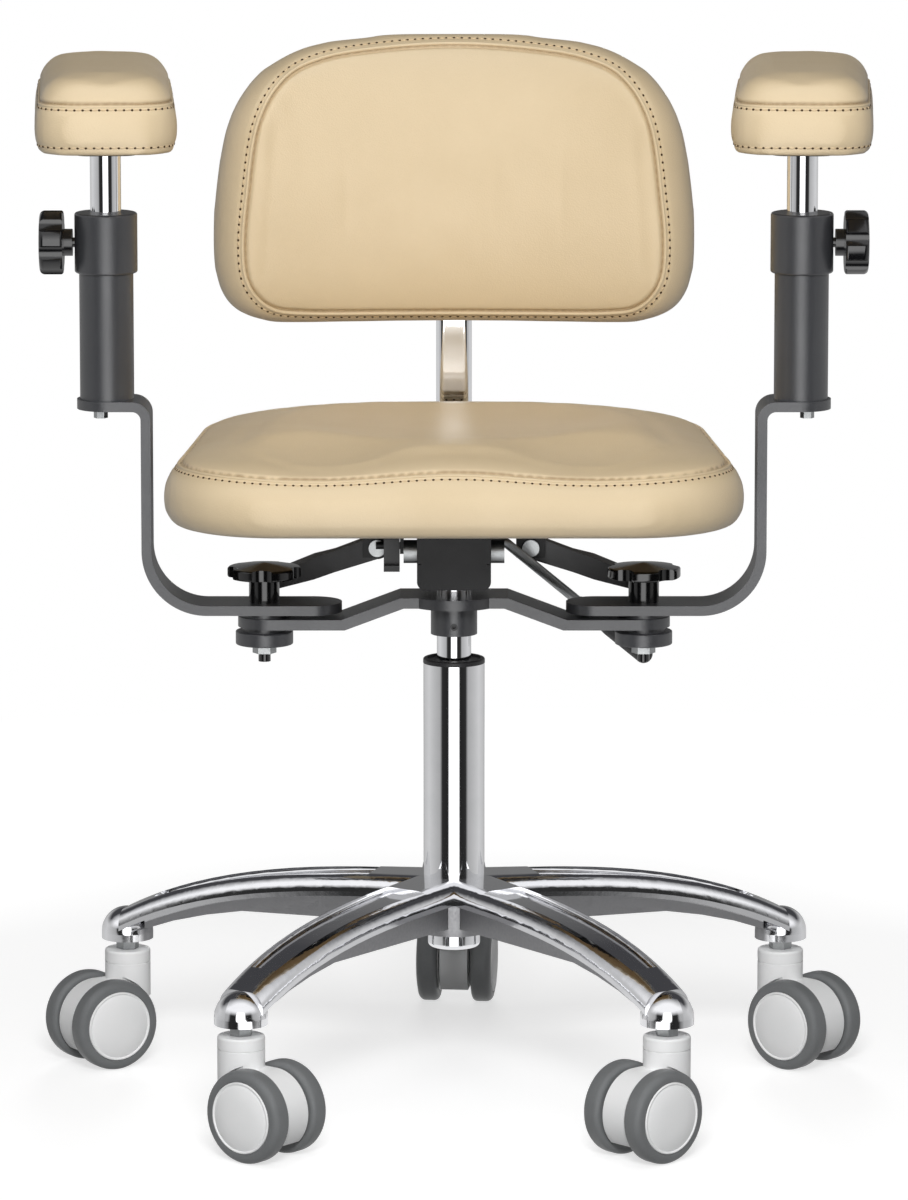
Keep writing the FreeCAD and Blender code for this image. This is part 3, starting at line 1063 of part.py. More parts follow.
def backrest():
    """Recline yoke, flat oval post, and the backrest with its shell, socket and clamp knob."""
    half_thick = "post_flat_thick / 2"
    across = Rotation(Vector(0, 1, 0), 90)
    post_start = "hinge_y + yoke_dia"
    post = padded("post_bar", "YZ_Plane", [
        (post_start, f"hinge_z - {half_thick}"),
        (f"back_post_y + {half_thick}", f"hinge_z - {half_thick}", "back_post_bend + post_flat_thick"),
        (f"back_post_y + {half_thick}", "back_post_top"), (f"back_post_y - {half_thick}", "back_post_top"),
        (f"back_post_y - {half_thick}", f"hinge_z + {half_thick}", "back_post_bend"),
        (post_start, f"hinge_z + {half_thick}")], "post_flat_width")
    side = worth("post_flat_width / 2")
    round_edges(post, "post_flat_thick / 2 - 0.5", lambda edge: (
        abs(abs(edge.CenterOfMass.x) - side) < 0.01 and edge.Length > worth("post_flat_thick") + 1))
    piece(post, "back_post")
    barrel = rod("yoke_barrel", "yoke_dia", "yoke_width", ("-yoke_width / 2", "hinge_y", "hinge_z"), across)
    side_wall, skin = "post_flat_width / 2 + yoke_wall", f"{half_thick} + yoke_wall / 2"
    socket = block("yoke_socket", (f"-({side_wall})", "hinge_y", f"hinge_z - ({skin})"),
                   (side_wall, f"{post_start} + yoke_length", f"hinge_z + {skin}"))
    mouth = block("yoke_mouth", ("-post_flat_width / 2", post_start, f"hinge_z - {half_thick}"),
                  ("post_flat_width / 2", f"{post_start} + 2 * yoke_length", f"hinge_z + {half_thick}"))
    hole = rod("yoke_hole", "axle_dia + 2 * run_fit", "2 * yoke_width",
               ("-yoke_width", "hinge_y", "hinge_z"), across)
    piece(cut("back_yoke", fuse("yoke", barrel, socket), mouth, hole), "back_yoke")

    low, tall, half = worth("back_bottom"), worth("back_height"), worth("back_width / 2")
    front, thick, seam = worth("back_front"), worth("back_thick"), worth("back_seam")
    back = front + thick
    stations = [
        (0.0, 0.79, 0.42, 0.10), (0.03, 0.885, 0.22, 0.04), (0.07, 0.943, 0.10, 0.01),
        (0.14, 0.983, 0.03, 0.0), (0.28, 1.0, 0.0, 0.0), (0.55, 0.973, 0.0, 0.0), (0.72, 0.925, 0.02, 0.0),
        (0.86, 0.81, 0.11, 0.02), (0.93, 0.69, 0.21, 0.05), (0.97, 0.54, 0.34, 0.11), (1.0, 0.30, 0.52, 0.20)]
    sections = [
        bow_wire(low + tall * rise, half * width, front + thick * face, back - thick * rear, seam * width)
        for rise, width, face, rear in stations]
    piece(formed("back_form", Part.makeLoft(sections, True, False)), "back_cushion")

    inset, face, shell = worth("shell_inset"), worth("back_rear"), worth("shell_thick")
    plate = []
    for rise, width, front_fall, rear in stations:
        start = face - thick * rear
        plate.append(bow_wire(low + tall * rise, half * width - inset, start, start + shell, 0.4 * shell))
    shell_bottom = "back_bottom + shell_rise"
    band = block("shell_band", ("-back_width / 2", "back_front", shell_bottom),
                 ("back_width / 2", "2 * back_rear", f"{shell_bottom} + shell_height"))
    skin = common("shell_skin", formed("shell_form", Part.makeLoft(plate, True, False)), band)
    post_front, post_back = f"back_post_y - {half_thick}", f"back_post_y + {half_thick}"
    socket_top, slot = "socket_bottom + socket_height", "post_flat_width / 2 + run_fit"
    holder = block("back_holder", (f"-({side_wall})", "back_rear + shell_thick / 2", "socket_bottom"),
                   (side_wall, f"{post_back} + yoke_wall", socket_top))
    slide = block("back_slide", (f"-({slot})", f"{post_front} - run_fit", "socket_bottom - 1"),
                  (slot, f"{post_back} + run_fit", f"{socket_top} + 1"))
    knob_z = "socket_bottom + socket_height / 2"
    to_back = Rotation(Vector(1, 0, 0), -90)
    stud_hole = "clamp_stud_dia + 2 * run_fit"
    tap = rod("back_tap", stud_hole, "4 * yoke_wall", ("0", post_back, knob_z), to_back)
    piece(cut("back_shell", fuse("back_mount", skin, holder), slide, tap), "back_shell")
    stud_length = "yoke_wall + clamp_stud_show - clearance"
    knob_end, stud_end = f"{stud_length} + back_knob_thick", f"{stud_length} + back_knob_thick / 2"
    knob = turned("back_knob_head", [
        ("clamp_stud_dia / 2", stud_length), ("clamp_neck_dia / 2", stud_length),
        ("back_knob_dia / 2", f"{stud_length} + knob_round", "edge_round"),
        ("back_knob_dia / 2", knob_end, "knob_round"), ("0", knob_end), ("0", stud_end),
        ("clamp_stud_dia / 2", stud_end)])
    stud = rod("back_stud", "clamp_stud_dia", stud_end, ("0", "0", "0"))
    group("back_knob", [knob, stud], ("0", f"{post_back} + clearance", knob_z), to_back)


def casters():
    """Twin-wheel casters: stem, swivel hood with its axle, and two wheels with bonded treads."""
    hex_height = "boss_bottom - barrel_top - clearance"
    stem_bottom = "barrel_top - stem_hold"
    shank = rod("stem_shank", "stem_dia", f"boss_bottom + stem_entry - ({stem_bottom})",
                ("0", "0", stem_bottom))
    nut = hexagon("stem_collar", "stem_hex", hex_height, ("0", "0", "barrel_top + clearance"))
    stem = fuse("stem", shank, nut)
    along_axle = Rotation(Vector(1, 0, 0), -90)
    rim, groove = "barrel_dia / 2", "barrel_dia / 2 - 0.8"
    barrel = turned("hood_barrel", [
        ("0", "barrel_bottom"), (rim, "barrel_bottom"), (rim, "barrel_groove - 0.5"),
        (groove, "barrel_groove - 0.5"), (groove, "barrel_groove + 0.5"), (rim, "barrel_groove + 0.5"),
        (rim, "barrel_top", "edge_round"), ("0", "barrel_top")])
    fender = rod("hood_fender", "hood_dia", "hood_thick",
                 ("caster_trail", "-hood_thick / 2", "wheel_radius"), along_axle)
    web = block("hood_web", ("-barrel_dia / 4", "-hood_thick / 2", "barrel_bottom"),
                ("caster_trail", "hood_thick / 2", "wheel_radius + hood_dia / 2"))
    below = block("hood_below", ("-hood_dia", "-hood_dia", "-hood_dia"),
                  ("2 * hood_dia", "hood_dia", "hood_clear"))
    bore = rod("hood_bore", "stem_dia + 2 * run_fit", "2 * stem_hold", ("0", "0", stem_bottom))
    axle_at = ("caster_trail", "-caster_axle_length / 2", "wheel_radius")
    eye = rod("hood_eye", "caster_axle_dia", "caster_axle_length", axle_at, along_axle)
    rooms = [rod(f"hood_room_{side}", "wheel_dia + 10 * clearance", "barrel_dia",
                 ("caster_trail", start, "wheel_radius"), along_axle) for side, start in (
        ("left", "-barrel_dia - wheel_gap + 2 * clearance"), ("right", "wheel_gap - 2 * clearance"))]
    hood = cut("hood", fuse("hood_form", barrel, fender, web), below, bore, eye, *rooms)
    axle = rod("caster_axle", "caster_axle_dia", "caster_axle_length", axle_at, along_axle)
    bore_radius, face = "caster_axle_dia / 2 + run_fit", "wheel_gap + tread_width"
    bore_end = "caster_axle_length / 2 + clearance"
    disc = turned("wheel_disc", [
        (bore_radius, "wheel_gap"), ("rim_radius", "wheel_gap"), ("rim_radius", face),
        ("rim_radius - edge_round", f"{face} + wheel_dome / 3"), ("0", f"{face} + wheel_dome"),
        ("0", bore_end), (bore_radius, bore_end)])
    tread = turned("wheel_tread", [
        ("rim_radius", "wheel_gap"), ("wheel_radius", "wheel_gap", "tread_round"),
        ("wheel_radius", face, "tread_round"), ("rim_radius", face)])
    stems = []
    for name, (bearing, trail) in CASTERS.items():
        spot = (f"stem_circle * sin({bearing})", f"-stem_circle * cos({bearing})", "0")
        member = doc.addObject("Part::Compound", f"stem_{name}")
        member.Links = [stem]
        stems.append(place(member, spot, Rotation(UP, bearing)))
        group(f"caster_hood_{name}", [hood, axle], spot, Rotation(UP, trail))
        hub = (f"{spot[0]} + caster_trail * cos({trail})", f"{spot[1]} + caster_trail * sin({trail})",
               "wheel_radius")
        side_way = Vector(-math.sin(math.radians(trail)), math.cos(math.radians(trail)), 0)
        for side, sign in SIDES.items():
            group(f"wheel_{side}_{name}", [disc, tread], hub, Rotation(UP, side_way * -sign))
    group("caster_stems", stems)


def write_parts():
    """Check every object and write each sub-part to its own file."""
    doc.recompute()
    failed = [item.Name for item in doc.Objects if {"Invalid", "Error"} & set(item.State)]
    if failed:
        raise RuntimeError(f"objects failed to build: {failed}")
    hollow = [item.Label for item in pieces
              if item.Shape.isNull() or not item.Shape.isValid() or not item.Shape.Solids]
    if hollow:
        raise RuntimeError(f"sub-parts without a valid solid: {hollow}")
    os.makedirs("parts", exist_ok=True)
    for item in pieces:
        item.Shape.exportStep(f"parts/{item.Label}.step")


star_base()
column()
lift()
arm_carrier()
star_knobs()
arm_supports()
arm_pads()
tilt_mechanism()
paddle_levers()
lift_lever()
seat()
backrest()
casters()
write_parts()
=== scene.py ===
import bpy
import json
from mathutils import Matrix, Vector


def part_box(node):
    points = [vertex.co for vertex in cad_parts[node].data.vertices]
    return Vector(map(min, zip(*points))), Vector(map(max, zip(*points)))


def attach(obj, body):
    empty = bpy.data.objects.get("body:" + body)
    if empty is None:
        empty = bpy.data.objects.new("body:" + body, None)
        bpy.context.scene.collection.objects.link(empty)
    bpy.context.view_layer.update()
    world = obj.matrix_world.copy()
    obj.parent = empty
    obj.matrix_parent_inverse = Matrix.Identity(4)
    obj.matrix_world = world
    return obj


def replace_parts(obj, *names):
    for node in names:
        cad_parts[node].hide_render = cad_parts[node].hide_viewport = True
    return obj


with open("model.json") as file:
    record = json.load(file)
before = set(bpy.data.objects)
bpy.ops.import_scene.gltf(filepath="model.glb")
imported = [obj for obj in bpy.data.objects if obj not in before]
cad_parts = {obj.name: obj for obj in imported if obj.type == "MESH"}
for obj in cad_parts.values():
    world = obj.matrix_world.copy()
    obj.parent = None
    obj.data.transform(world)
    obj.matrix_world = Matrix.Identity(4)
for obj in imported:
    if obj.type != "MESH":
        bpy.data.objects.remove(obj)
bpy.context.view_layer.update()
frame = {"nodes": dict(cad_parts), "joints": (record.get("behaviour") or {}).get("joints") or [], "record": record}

import json
import math

import bmesh
import bpy
from mathutils import Matrix, Vector
from mathutils.bvhtree import BVHTree
from mathutils.kdtree import KDTree

scene = bpy.context.scene
nodes = frame["nodes"]
joints = {joint["name"]: joint for joint in frame["joints"]}
MM = 0.001
UP = Vector((0, 0, 1))
AHEAD = Vector((0, 1, 0))

# The photograph's lens reaches six picture heights.
PICTURE_HEIGHTS = 6
CAMERA_PLACE = (0, -5.8, 1.3915)
CAMERA_PITCH = math.radians(9.648)
SENSOR = 24

# Upholstery sizes in metres: the panel outline is half of the backrest's front panel, as (x, z).
BACK_PANEL = [(0, 0.842), (0.060, 0.839), (0.109, 0.8315), (0.141, 0.815), (0.162, 0.778), (0.171, 0.717),
              (0.174, 0.676), (0.170, 0.647), (0.153, 0.627), (0.125, 0.6215), (0.060, 0.6205), (0, 0.6205)]
BAND_STITCH = 0.0055
FOAM_VOXEL = 0.005
SEAM_STEP = 0.0015
GIRDLE_RAYS = 360
SEWN_REACH = 0.005
FINE_REACH = 0.006
CREASE_WIDTH = 0.0014
ROW_WIDTH = 0.002
SEAT_SEAM_RISE = 0.050
SEAT_STITCH_DROP = 0.0042
THIGH_START, THIGH_RUN = -0.05, 0.1
THIGH_LOW, THIGH_RISE = 0.015, 0.035
THIGH_SPACING, THIGH_SPREAD = 0.235, 0.19
THIGH_LIFT = 0.0034
PAD_SEAM_RISE = 0.041
PAD_STITCH_DROP = 0.0045
PAD_HEM_RISE = 0.0065
# Grooves as (depth, width), depths of the stitch rows, swelling of the covers, and the rolled edges with
# their distance from the seam.
SEAT_GROOVE, BACK_GROOVE, PAD_GROOVE = (0.0024, 0.0018), (0.0024, 0.0019), (0.0022, 0.0018)
SEAT_ROW, BACK_ROW, PAD_ROW = 0.0006, 0.0006, 0.0007
SEAT_SWELL, BACK_SWELL, PAD_SWELL = 0.003, 0.004, 0.0025
SEAT_LIP, BACK_WELT, PAD_LIP = 0.0012, 0.0016, 0.0011
SEAT_LIP_DROP, BACK_WELT_OUT, PAD_LIP_DROP = 0.0019, 0.0018, 0.002
STITCH_PITCH = 0.0065
# Half sizes of a stitch's thread and of its needle hole's dark dot of painted shade: along the row, across it and
# tall.
THREAD_SIZE = (0.34 * STITCH_PITCH, 0.0007, 0.0007)
HOLE_SIZE = (0.00119, 0.00098, 0.0007)


def srgb(red, green, blue):
    """A colour picked in display values, as linear light."""
    shares = (value / 255 for value in (red, green, blue))
    linear = [x / 12.92 if x <= 0.04045 else ((x + 0.055) / 1.055) ** 2.4 for x in shares]
    return (*linear, 1)


# Node helpers

def add(tree, kind, inputs=(), **settings):
    """A node with its settings, and with its inputs set to a value or linked to a socket."""
    made = tree.nodes.new(kind)
    for name, value in settings.items():
        setattr(made, name, value)
    for name, value in dict(inputs).items():
        if isinstance(value, bpy.types.NodeSocket):
            tree.links.new(value, made.inputs[name])
        else:
            made.inputs[name].default_value = value
    return made


def mixed(tree, factor, first, second):
    """Two colours mixed by a factor."""
    blend = add(tree, "ShaderNodeMix", {0: factor, 6: first, 7: second}, data_type="RGBA")
    return blend.outputs[2]


def maths(tree, operation, first, second=0.0):
    """One step of arithmetic."""
    return add(tree, "ShaderNodeMath", {0: first, 1: second}, operation=operation).outputs[0]


def ranged(tree, value, low, high, start=0.0, end=1.0):
    """A value spread from low and high to start and end."""
    inputs = {"Value": value, "From Min": low, "From Max": high, "To Min": start, "To Max": end}
    return add(tree, "ShaderNodeMapRange", inputs).outputs[0]


def shader_group(name, inputs, outputs):
    """An empty shader group with its sockets, its inputs' sockets inside and its output node."""
    tree = bpy.data.node_groups.new(name, "ShaderNodeTree")
    for label, kind, value in inputs:
        tree.interface.new_socket(label, in_out="INPUT", socket_type=kind).default_value = value
    for label, kind in outputs:
        tree.interface.new_socket(label, in_out="OUTPUT", socket_type=kind)
    return tree, add(tree, "NodeGroupInput").outputs, add(tree, "NodeGroupOutput")


# Share of the slow patches in a finish's change of colour and gloss; the fine grain has the rest.
PATCH_SHARE = 0.65


def surface_group():
    """Patchy colour and gloss with a fine grain, for any finish."""
    tree, given, end = shader_group("patchy_finish", [
        ("Colour", "NodeSocketColor", (0.5, 0.5, 0.5, 1)), ("Shade", "NodeSocketColor", (0.4, 0.4, 0.4, 1)),
        ("Patch Scale", "NodeSocketFloat", 10), ("Gloss Low", "NodeSocketFloat", 0.3),
        ("Gloss High", "NodeSocketFloat", 0.5), ("Grain Scale", "NodeSocketFloat", 800)],
        [("Colour", "NodeSocketColor"), ("Roughness", "NodeSocketFloat"), ("Height", "NodeSocketFloat")])
    place = add(tree, "ShaderNodeTexCoord").outputs["Object"]
    patches = add(tree, "ShaderNodeTexNoise", {
        "Vector": place, "Scale": given["Patch Scale"], "Detail": 4, "Roughness": 0.55}).outputs["Fac"]
    grain = add(tree, "ShaderNodeTexNoise", {
        "Vector": place, "Scale": given["Grain Scale"], "Detail": 3, "Roughness": 0.6}).outputs["Fac"]
    tone = ranged(tree, patches, 0.32, 0.68)
    speck = ranged(tree, grain, 0.3, 0.7)
    level = maths(tree, "ADD", maths(tree, "MULTIPLY", tone, PATCH_SHARE),
                  maths(tree, "MULTIPLY", speck, 1 - PATCH_SHARE))
    gloss = add(tree, "ShaderNodeMix", {0: level, 2: given["Gloss Low"], 3: given["Gloss High"]}).outputs[0]
    tree.links.new(mixed(tree, level, given["Colour"], given["Shade"]), end.inputs["Colour"])
    tree.links.new(gloss, end.inputs["Roughness"])
    tree.links.new(grain, end.inputs["Height"])
    return tree


def pebble_group():
    """Rounded pebbles of a pressed leather grain, softened by a slow wave of the foam below."""
    tree, given, end = shader_group("pebble_grain", [
        ("Pebble Scale", "NodeSocketFloat", 800), ("Wave Scale", "NodeSocketFloat", 20),
        ("Wave Share", "NodeSocketFloat", 0.5)], [("Height", "NodeSocketFloat")])
    place = add(tree, "ShaderNodeTexCoord").outputs["Object"]
    pebble = add(tree, "ShaderNodeTexVoronoi", {
        "Vector": place, "Scale": given["Pebble Scale"], "Smoothness": 0.6},
        feature="SMOOTH_F1").outputs["Distance"]
    wave = add(tree, "ShaderNodeTexNoise", {
        "Vector": place, "Scale": given["Wave Scale"], "Detail": 2}).outputs["Fac"]
    tall = maths(tree, "MULTIPLY", wave, given["Wave Share"])
    tree.links.new(maths(tree, "ADD", pebble, tall), end.inputs["Height"])
    return tree


PATCHY = surface_group()
PEBBLE = pebble_group()


def finish(name, colour, shade, patch, low, high, grain, bump, distance, metal=0.0, **plain):
    """A material with patchy colour and gloss and a fine grain; plain values go on the shader's sockets."""
    material = bpy.data.materials.new(name)
    material.use_nodes = True
    tree = material.node_tree
    shader = tree.nodes["Principled BSDF"]
    shader.inputs["Metallic"].default_value = metal
    for label, value in plain.items():
        shader.inputs[label.replace("_", " ")].default_value = value
    surface = add(tree, "ShaderNodeGroup", {}, node_tree=PATCHY)
    for label, value in (("Colour", colour), ("Shade", shade), ("Patch Scale", patch), ("Gloss Low", low),
                         ("Gloss High", high), ("Grain Scale", grain)):
        surface.inputs[label].default_value = value
    relief = add(tree, "ShaderNodeBump", {
        "Height": surface.outputs["Height"], "Strength": bump, "Distance": distance})
    tree.links.new(surface.outputs["Colour"], shader.inputs["Base Color"])
    tree.links.new(surface.outputs["Roughness"], shader.inputs["Roughness"])
    tree.links.new(relief.outputs["Normal"], shader.inputs["Normal"])
    return material


# Share of the painted shade: a darker colour painted into the leather at the bottom of a seam.
CREASE_SHADE = 0.75


def leatherette():
    """Smooth beige upholstery with a faint pressed grain."""
    material = finish("leatherette", srgb(223, 202, 166), srgb(216, 195, 159), 9, 0.34, 0.46, 1400, 0.10,
                      0.0004, Specular_IOR_Level=0.85)
    tree = material.node_tree
    relief = tree.nodes["Bump"]
    grain = add(tree, "ShaderNodeGroup", {}, node_tree=PEBBLE)
    for label, value in (("Pebble Scale", 850), ("Wave Scale", 26), ("Wave Share", 1.6)):
        grain.inputs[label].default_value = value
    second = add(tree, "ShaderNodeBump", {
        "Height": grain.outputs["Height"], "Strength": 0.22, "Distance": 0.0006,
        "Normal": relief.outputs["Normal"]})
    tree.links.new(second.outputs["Normal"], tree.nodes["Principled BSDF"].inputs["Normal"])
    surface = next(node for node in tree.nodes if node.type == "GROUP" and node.node_tree == PATCHY)
    # Painted shade: the leather's colour is darkened deep in each seam, where the groove's shadow falls.
    painted_seam_shade = add(tree, "ShaderNodeAttribute", {}, attribute_name="painted_seam_shade").outputs["Fac"]
    depth = maths(tree, "MULTIPLY", painted_seam_shade, CREASE_SHADE)
    shaded = mixed(tree, depth, surface.outputs["Colour"], srgb(128, 98, 56))
    tree.links.new(shaded, tree.nodes["Principled BSDF"].inputs["Base Color"])
    return material


# Below this arched line the legs stay as cast: its height at the hub, its fall at the feet and its bend.
FOOT_CIRCLE = 0.287
CAST_TOP = 0.1602
CAST_FALL = 0.047
CAST_BEND = 2.8


def polished_casting():
    """Polished aluminium legs whose underside and ribs stay as cast."""
    material = finish("polished_casting", srgb(238, 238, 240), srgb(226, 227, 230), 16, 0.05, 0.13, 60, 0.05,
                      0.0015, 1.0)
    tree = material.node_tree
    shader = tree.nodes["Principled BSDF"]
    surface = next(node for node in tree.nodes if node.type == "GROUP")
    spot = add(tree, "ShaderNodeTexCoord").outputs["Object"]
    place = add(tree, "ShaderNodeSeparateXYZ", {0: spot}).outputs
    reach = add(tree, "ShaderNodeMath", {
        0: maths(tree, "MULTIPLY", place["X"], place["X"]),
        1: maths(tree, "MULTIPLY", place["Y"], place["Y"])}, operation="ADD").outputs[0]
    out = maths(tree, "DIVIDE", maths(tree, "SQRT", reach), FOOT_CIRCLE)
    fall = maths(tree, "MULTIPLY", maths(tree, "POWER", out, CAST_BEND), CAST_FALL)
    edge = maths(tree, "SUBTRACT", CAST_TOP, fall)
    below = ranged(tree, maths(tree, "SUBTRACT", edge, place["Z"]), 0.0, 0.0008)
    inside = ranged(tree, out, 0.945, 0.935)
    cast = maths(tree, "MULTIPLY", below, inside)
    grit = add(tree, "ShaderNodeTexNoise", {"Vector": spot, "Scale": 420, "Detail": 3}).outputs["Fac"]
    dull = ranged(tree, grit, 0.3, 0.7, 0.38, 0.55)
    rough = add(tree, "ShaderNodeMix", {0: cast, 2: surface.outputs["Roughness"], 3: dull}).outputs[0]
    tree.links.new(rough, shader.inputs["Roughness"])
    colour = mixed(tree, cast, surface.outputs["Colour"], srgb(150, 150, 152))
    tree.links.new(colour, shader.inputs["Base Color"])
    return material


# The carrier's collar with its set screw lies within this distance of the column's axis.
COLLAR_REACH = 0.029


def zinc_steel():
    """Zinc plating; the set screw on the column's axis is black."""
    material = finish("zinc_steel", srgb(172, 174, 174), srgb(146, 148, 150), 60, 0.36, 0.48, 900, 0.08,
                      0.0004)
    tree = material.node_tree
    shader = tree.nodes["Principled BSDF"]
    zinc = shader.inputs["Base Color"].links[0].from_socket
    place = add(tree, "ShaderNodeTexCoord").outputs["Object"]
    flat = add(tree, "ShaderNodeVectorMath", {0: place, 1: (1, 1, 0)},
               operation="MULTIPLY").outputs["Vector"]
    reach = add(tree, "ShaderNodeVectorMath", {0: flat}, operation="LENGTH").outputs["Value"]
    plated = ranged(tree, reach, COLLAR_REACH, COLLAR_REACH + 2 * MM)
    tree.links.new(mixed(tree, plated, srgb(24, 24, 26), zinc), shader.inputs["Base Color"])
    tree.links.new(plated, shader.inputs["Metallic"])
    return material


def make_finishes():
    """The finishes by name; those of the record's slots go by the slot's name."""
    return {
        "leatherette": leatherette(),
        "thread": finish("thread", srgb(224, 203, 168), srgb(206, 182, 144), 300, 0.5, 0.7, 2500, 0.2,
                         0.0002),
        # Painted shade: the dark colour of the needle holes' dots stands in for the shade inside the holes.
        "painted_hole_shade": finish("painted_hole_shade", srgb(74, 52, 28), srgb(58, 40, 22), 300, 0.7, 0.9, 2500, 0.1,
                              0.0002),
        "polished_casting": polished_casting(),
        "polished_aluminium": finish("polished_tube", srgb(240, 240, 242), srgb(230, 231, 233), 20, 0.03,
                                     0.07, 90, 0.015, 0.001, 1.0),
        "chrome": finish("chrome", srgb(244, 245, 247), srgb(236, 237, 240), 24, 0.02, 0.06, 120, 0.008,
                         0.001, 1.0),
        "zinc_steel": zinc_steel(),
        "dark_coat": finish("dark_coat", srgb(66, 67, 70), srgb(57, 58, 61), 14, 0.28, 0.38, 1500, 0.25,
                            0.0004, Specular_IOR_Level=0.85),
        "black_coat": finish("black_coat", srgb(22, 22, 24), srgb(16, 16, 18), 18, 0.42, 0.55, 1100, 0.12,
                             0.0004, Specular_IOR_Level=0.3),
        "black_plastic": finish("black_plastic", srgb(32, 32, 34), srgb(25, 25, 27), 20, 0.4, 0.55, 1300,
                                0.15, 0.0004),
        "gloss_black": finish("gloss_black", srgb(20, 20, 22), srgb(15, 15, 17), 30, 0.08, 0.18, 300, 0.02,
                              0.0005, Coat_Weight=0.4, Coat_Roughness=0.08),
        "caster_grey": finish("caster_grey", srgb(250, 250, 250), srgb(243, 244, 244), 22, 0.34, 0.46, 1200,
                              0.08, 0.0003),
        "tread": finish("tread", srgb(116, 118, 119), srgb(106, 108, 109), 30, 0.4, 0.55, 900, 0.12, 0.0003),
        "seat_board": finish("seat_board", srgb(190, 158, 112), srgb(160, 126, 82), 35, 0.5, 0.7, 500, 0.2,
                             0.0005),
    }


FINISH = make_finishes()


# Mesh helpers

def piece(name, mesh, body, *finishes, slot):
    """A finished object that rides on a body, with its finishes in slot order."""
    made = bpy.data.objects.new(name, mesh)
    scene.collection.objects.link(made)
    for label in finishes:
        mesh.materials.append(FINISH[label])
    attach(made, body)
    return made


def smooth_shaded(mesh, angle=35):
    """Smooth shading with sharp edges kept where faces meet at more than the angle."""
    mesh.shade_smooth()
    mesh.set_sharp_from_angle(angle=math.radians(angle))
    return mesh


def mesh_of(bm, name):
    """The bmesh as a mesh, with its normals pointing outwards."""
    bmesh.ops.remove_doubles(bm, verts=bm.verts, dist=1e-6)
    bmesh.ops.recalc_face_normals(bm, faces=bm.faces)
    mesh = bpy.data.meshes.new(name)
    bm.to_mesh(mesh)
    bm.free()
    return mesh


def settle(made):
    """Applies the object's modifiers to its mesh."""
    graph = bpy.context.evaluated_depsgraph_get()
    mesh = bpy.data.meshes.new_from_object(made.evaluated_get(graph))
    made.modifiers.clear()
    made.data = mesh


def frame_along(axis, origin):
    """A placement whose z runs along the axis from the origin."""
    return Matrix.Translation(origin) @ axis.to_track_quat("Z", "Y").to_matrix().to_4x4()


def lathe(name, profile, steps=72):
    """A ring turned from (radius, height, rounding) corners round the z axis."""
    bm = bmesh.new()
    corners = [bm.verts.new((radius, 0, height)) for radius, height, rounding in profile]
    edges = [bm.edges.new(pair) for pair in zip(corners, corners[1:] + corners[:1])]
    bmesh.ops.spin(bm, geom=corners + edges, cent=(0, 0, 0), axis=UP, angle=math.tau, steps=steps,
                   use_merge=True)
    bmesh.ops.remove_doubles(bm, verts=bm.verts, dist=1e-6)
    for radius, height, rounding in profile:
        if not rounding:
            continue

        def on_corner(vert):
            return abs(vert.co.z - height) < 1e-5 and abs(math.hypot(vert.co.x, vert.co.y) - radius) < 1e-5
        ring = [edge for edge in bm.edges if all(on_corner(vert) for vert in edge.verts)]
        bmesh.ops.bevel(bm, geom=ring, offset=rounding, offset_type="OFFSET", affect="EDGES", segments=5,
                        profile=0.5, material=-1)
    return mesh_of(bm, name)


# Paths on a cushion

def evenly(points, step):
    """A closed path resampled at an even step."""
    loop = points + points[:1]
    runs = [(b - a).length for a, b in zip(loop, loop[1:])]
    count = max(8, round(sum(runs) / step))
    spacing = sum(runs) / count
    made, run, passed = [], 0, 0.0
    for index in range(count):
        target = index * spacing
        while run < len(runs) - 1 and passed + runs[run] < target:
            passed += runs[run]
            run += 1
        share = (target - passed) / max(runs[run], 1e-9)
        made.append(loop[run].lerp(loop[run + 1], min(1, share)))
    return made


def softened(points, rounds):
    """A closed path with its points drawn towards the middle of their neighbours."""
    for _ in range(rounds):
        points = [point.lerp((points[i - 1] + points[(i + 1) % len(points)]) / 2, 0.5)
                  for i, point in enumerate(points)]
    return points


def through(points, steps=12):
    """A smooth closed loop through the points."""
    made = []
    for index, point in enumerate(points):
        before = points[index - 1]
        after = points[(index + 1) % len(points)]
        beyond = points[(index + 2) % len(points)]
        for step in range(steps):
            share = step / steps
            made.append(0.5 * (2 * point + (after - before) * share
                               + (2 * before - 5 * point + 4 * after - beyond) * share ** 2
                               + (3 * point - before - 3 * after + beyond) * share ** 3))
    return made


def tree_of(made):
    """The object's faces, ready for rays."""
    bm = bmesh.new()
    bm.from_mesh(made.data)
    tree = BVHTree.FromBMesh(bm)
    bm.free()
    return tree


def girdle(tree, centre, normal):
    """The closed path where a plane through the centre meets the cushion's side."""
    across = normal.orthogonal().normalized()
    points = []
    for index in range(GIRDLE_RAYS):
        way = Matrix.Rotation(math.tau * index / GIRDLE_RAYS, 3, normal) @ across
        hit = tree.ray_cast(centre + way, -way)[0]
        if hit:
            points.append(hit)
    return softened(evenly(points, SEAM_STEP), 6)


def cast_on(tree, outline, way):
    """The outline's points dropped along a direction onto the cushion."""
    hits = [tree.ray_cast(point - way, way)[0] for point in outline]
    return softened(evenly([hit for hit in hits if hit], SEAM_STEP), 4)


def finder(path):
    """A search for the path's nearest point."""
    near = KDTree(len(path))
    for index, point in enumerate(path):
        near.insert(point, index)
    near.balance()
    return near


def close_to(path, gap):
    """A test for points near a path."""
    near = finder(path)
    return lambda point: near.find(point)[2] < gap


def laid(tree, path):
    """A path moved onto the nearest place of the cushion."""
    return softened(evenly([tree.find_nearest(point)[0] for point in path], SEAM_STEP), 3)


# Upholstery

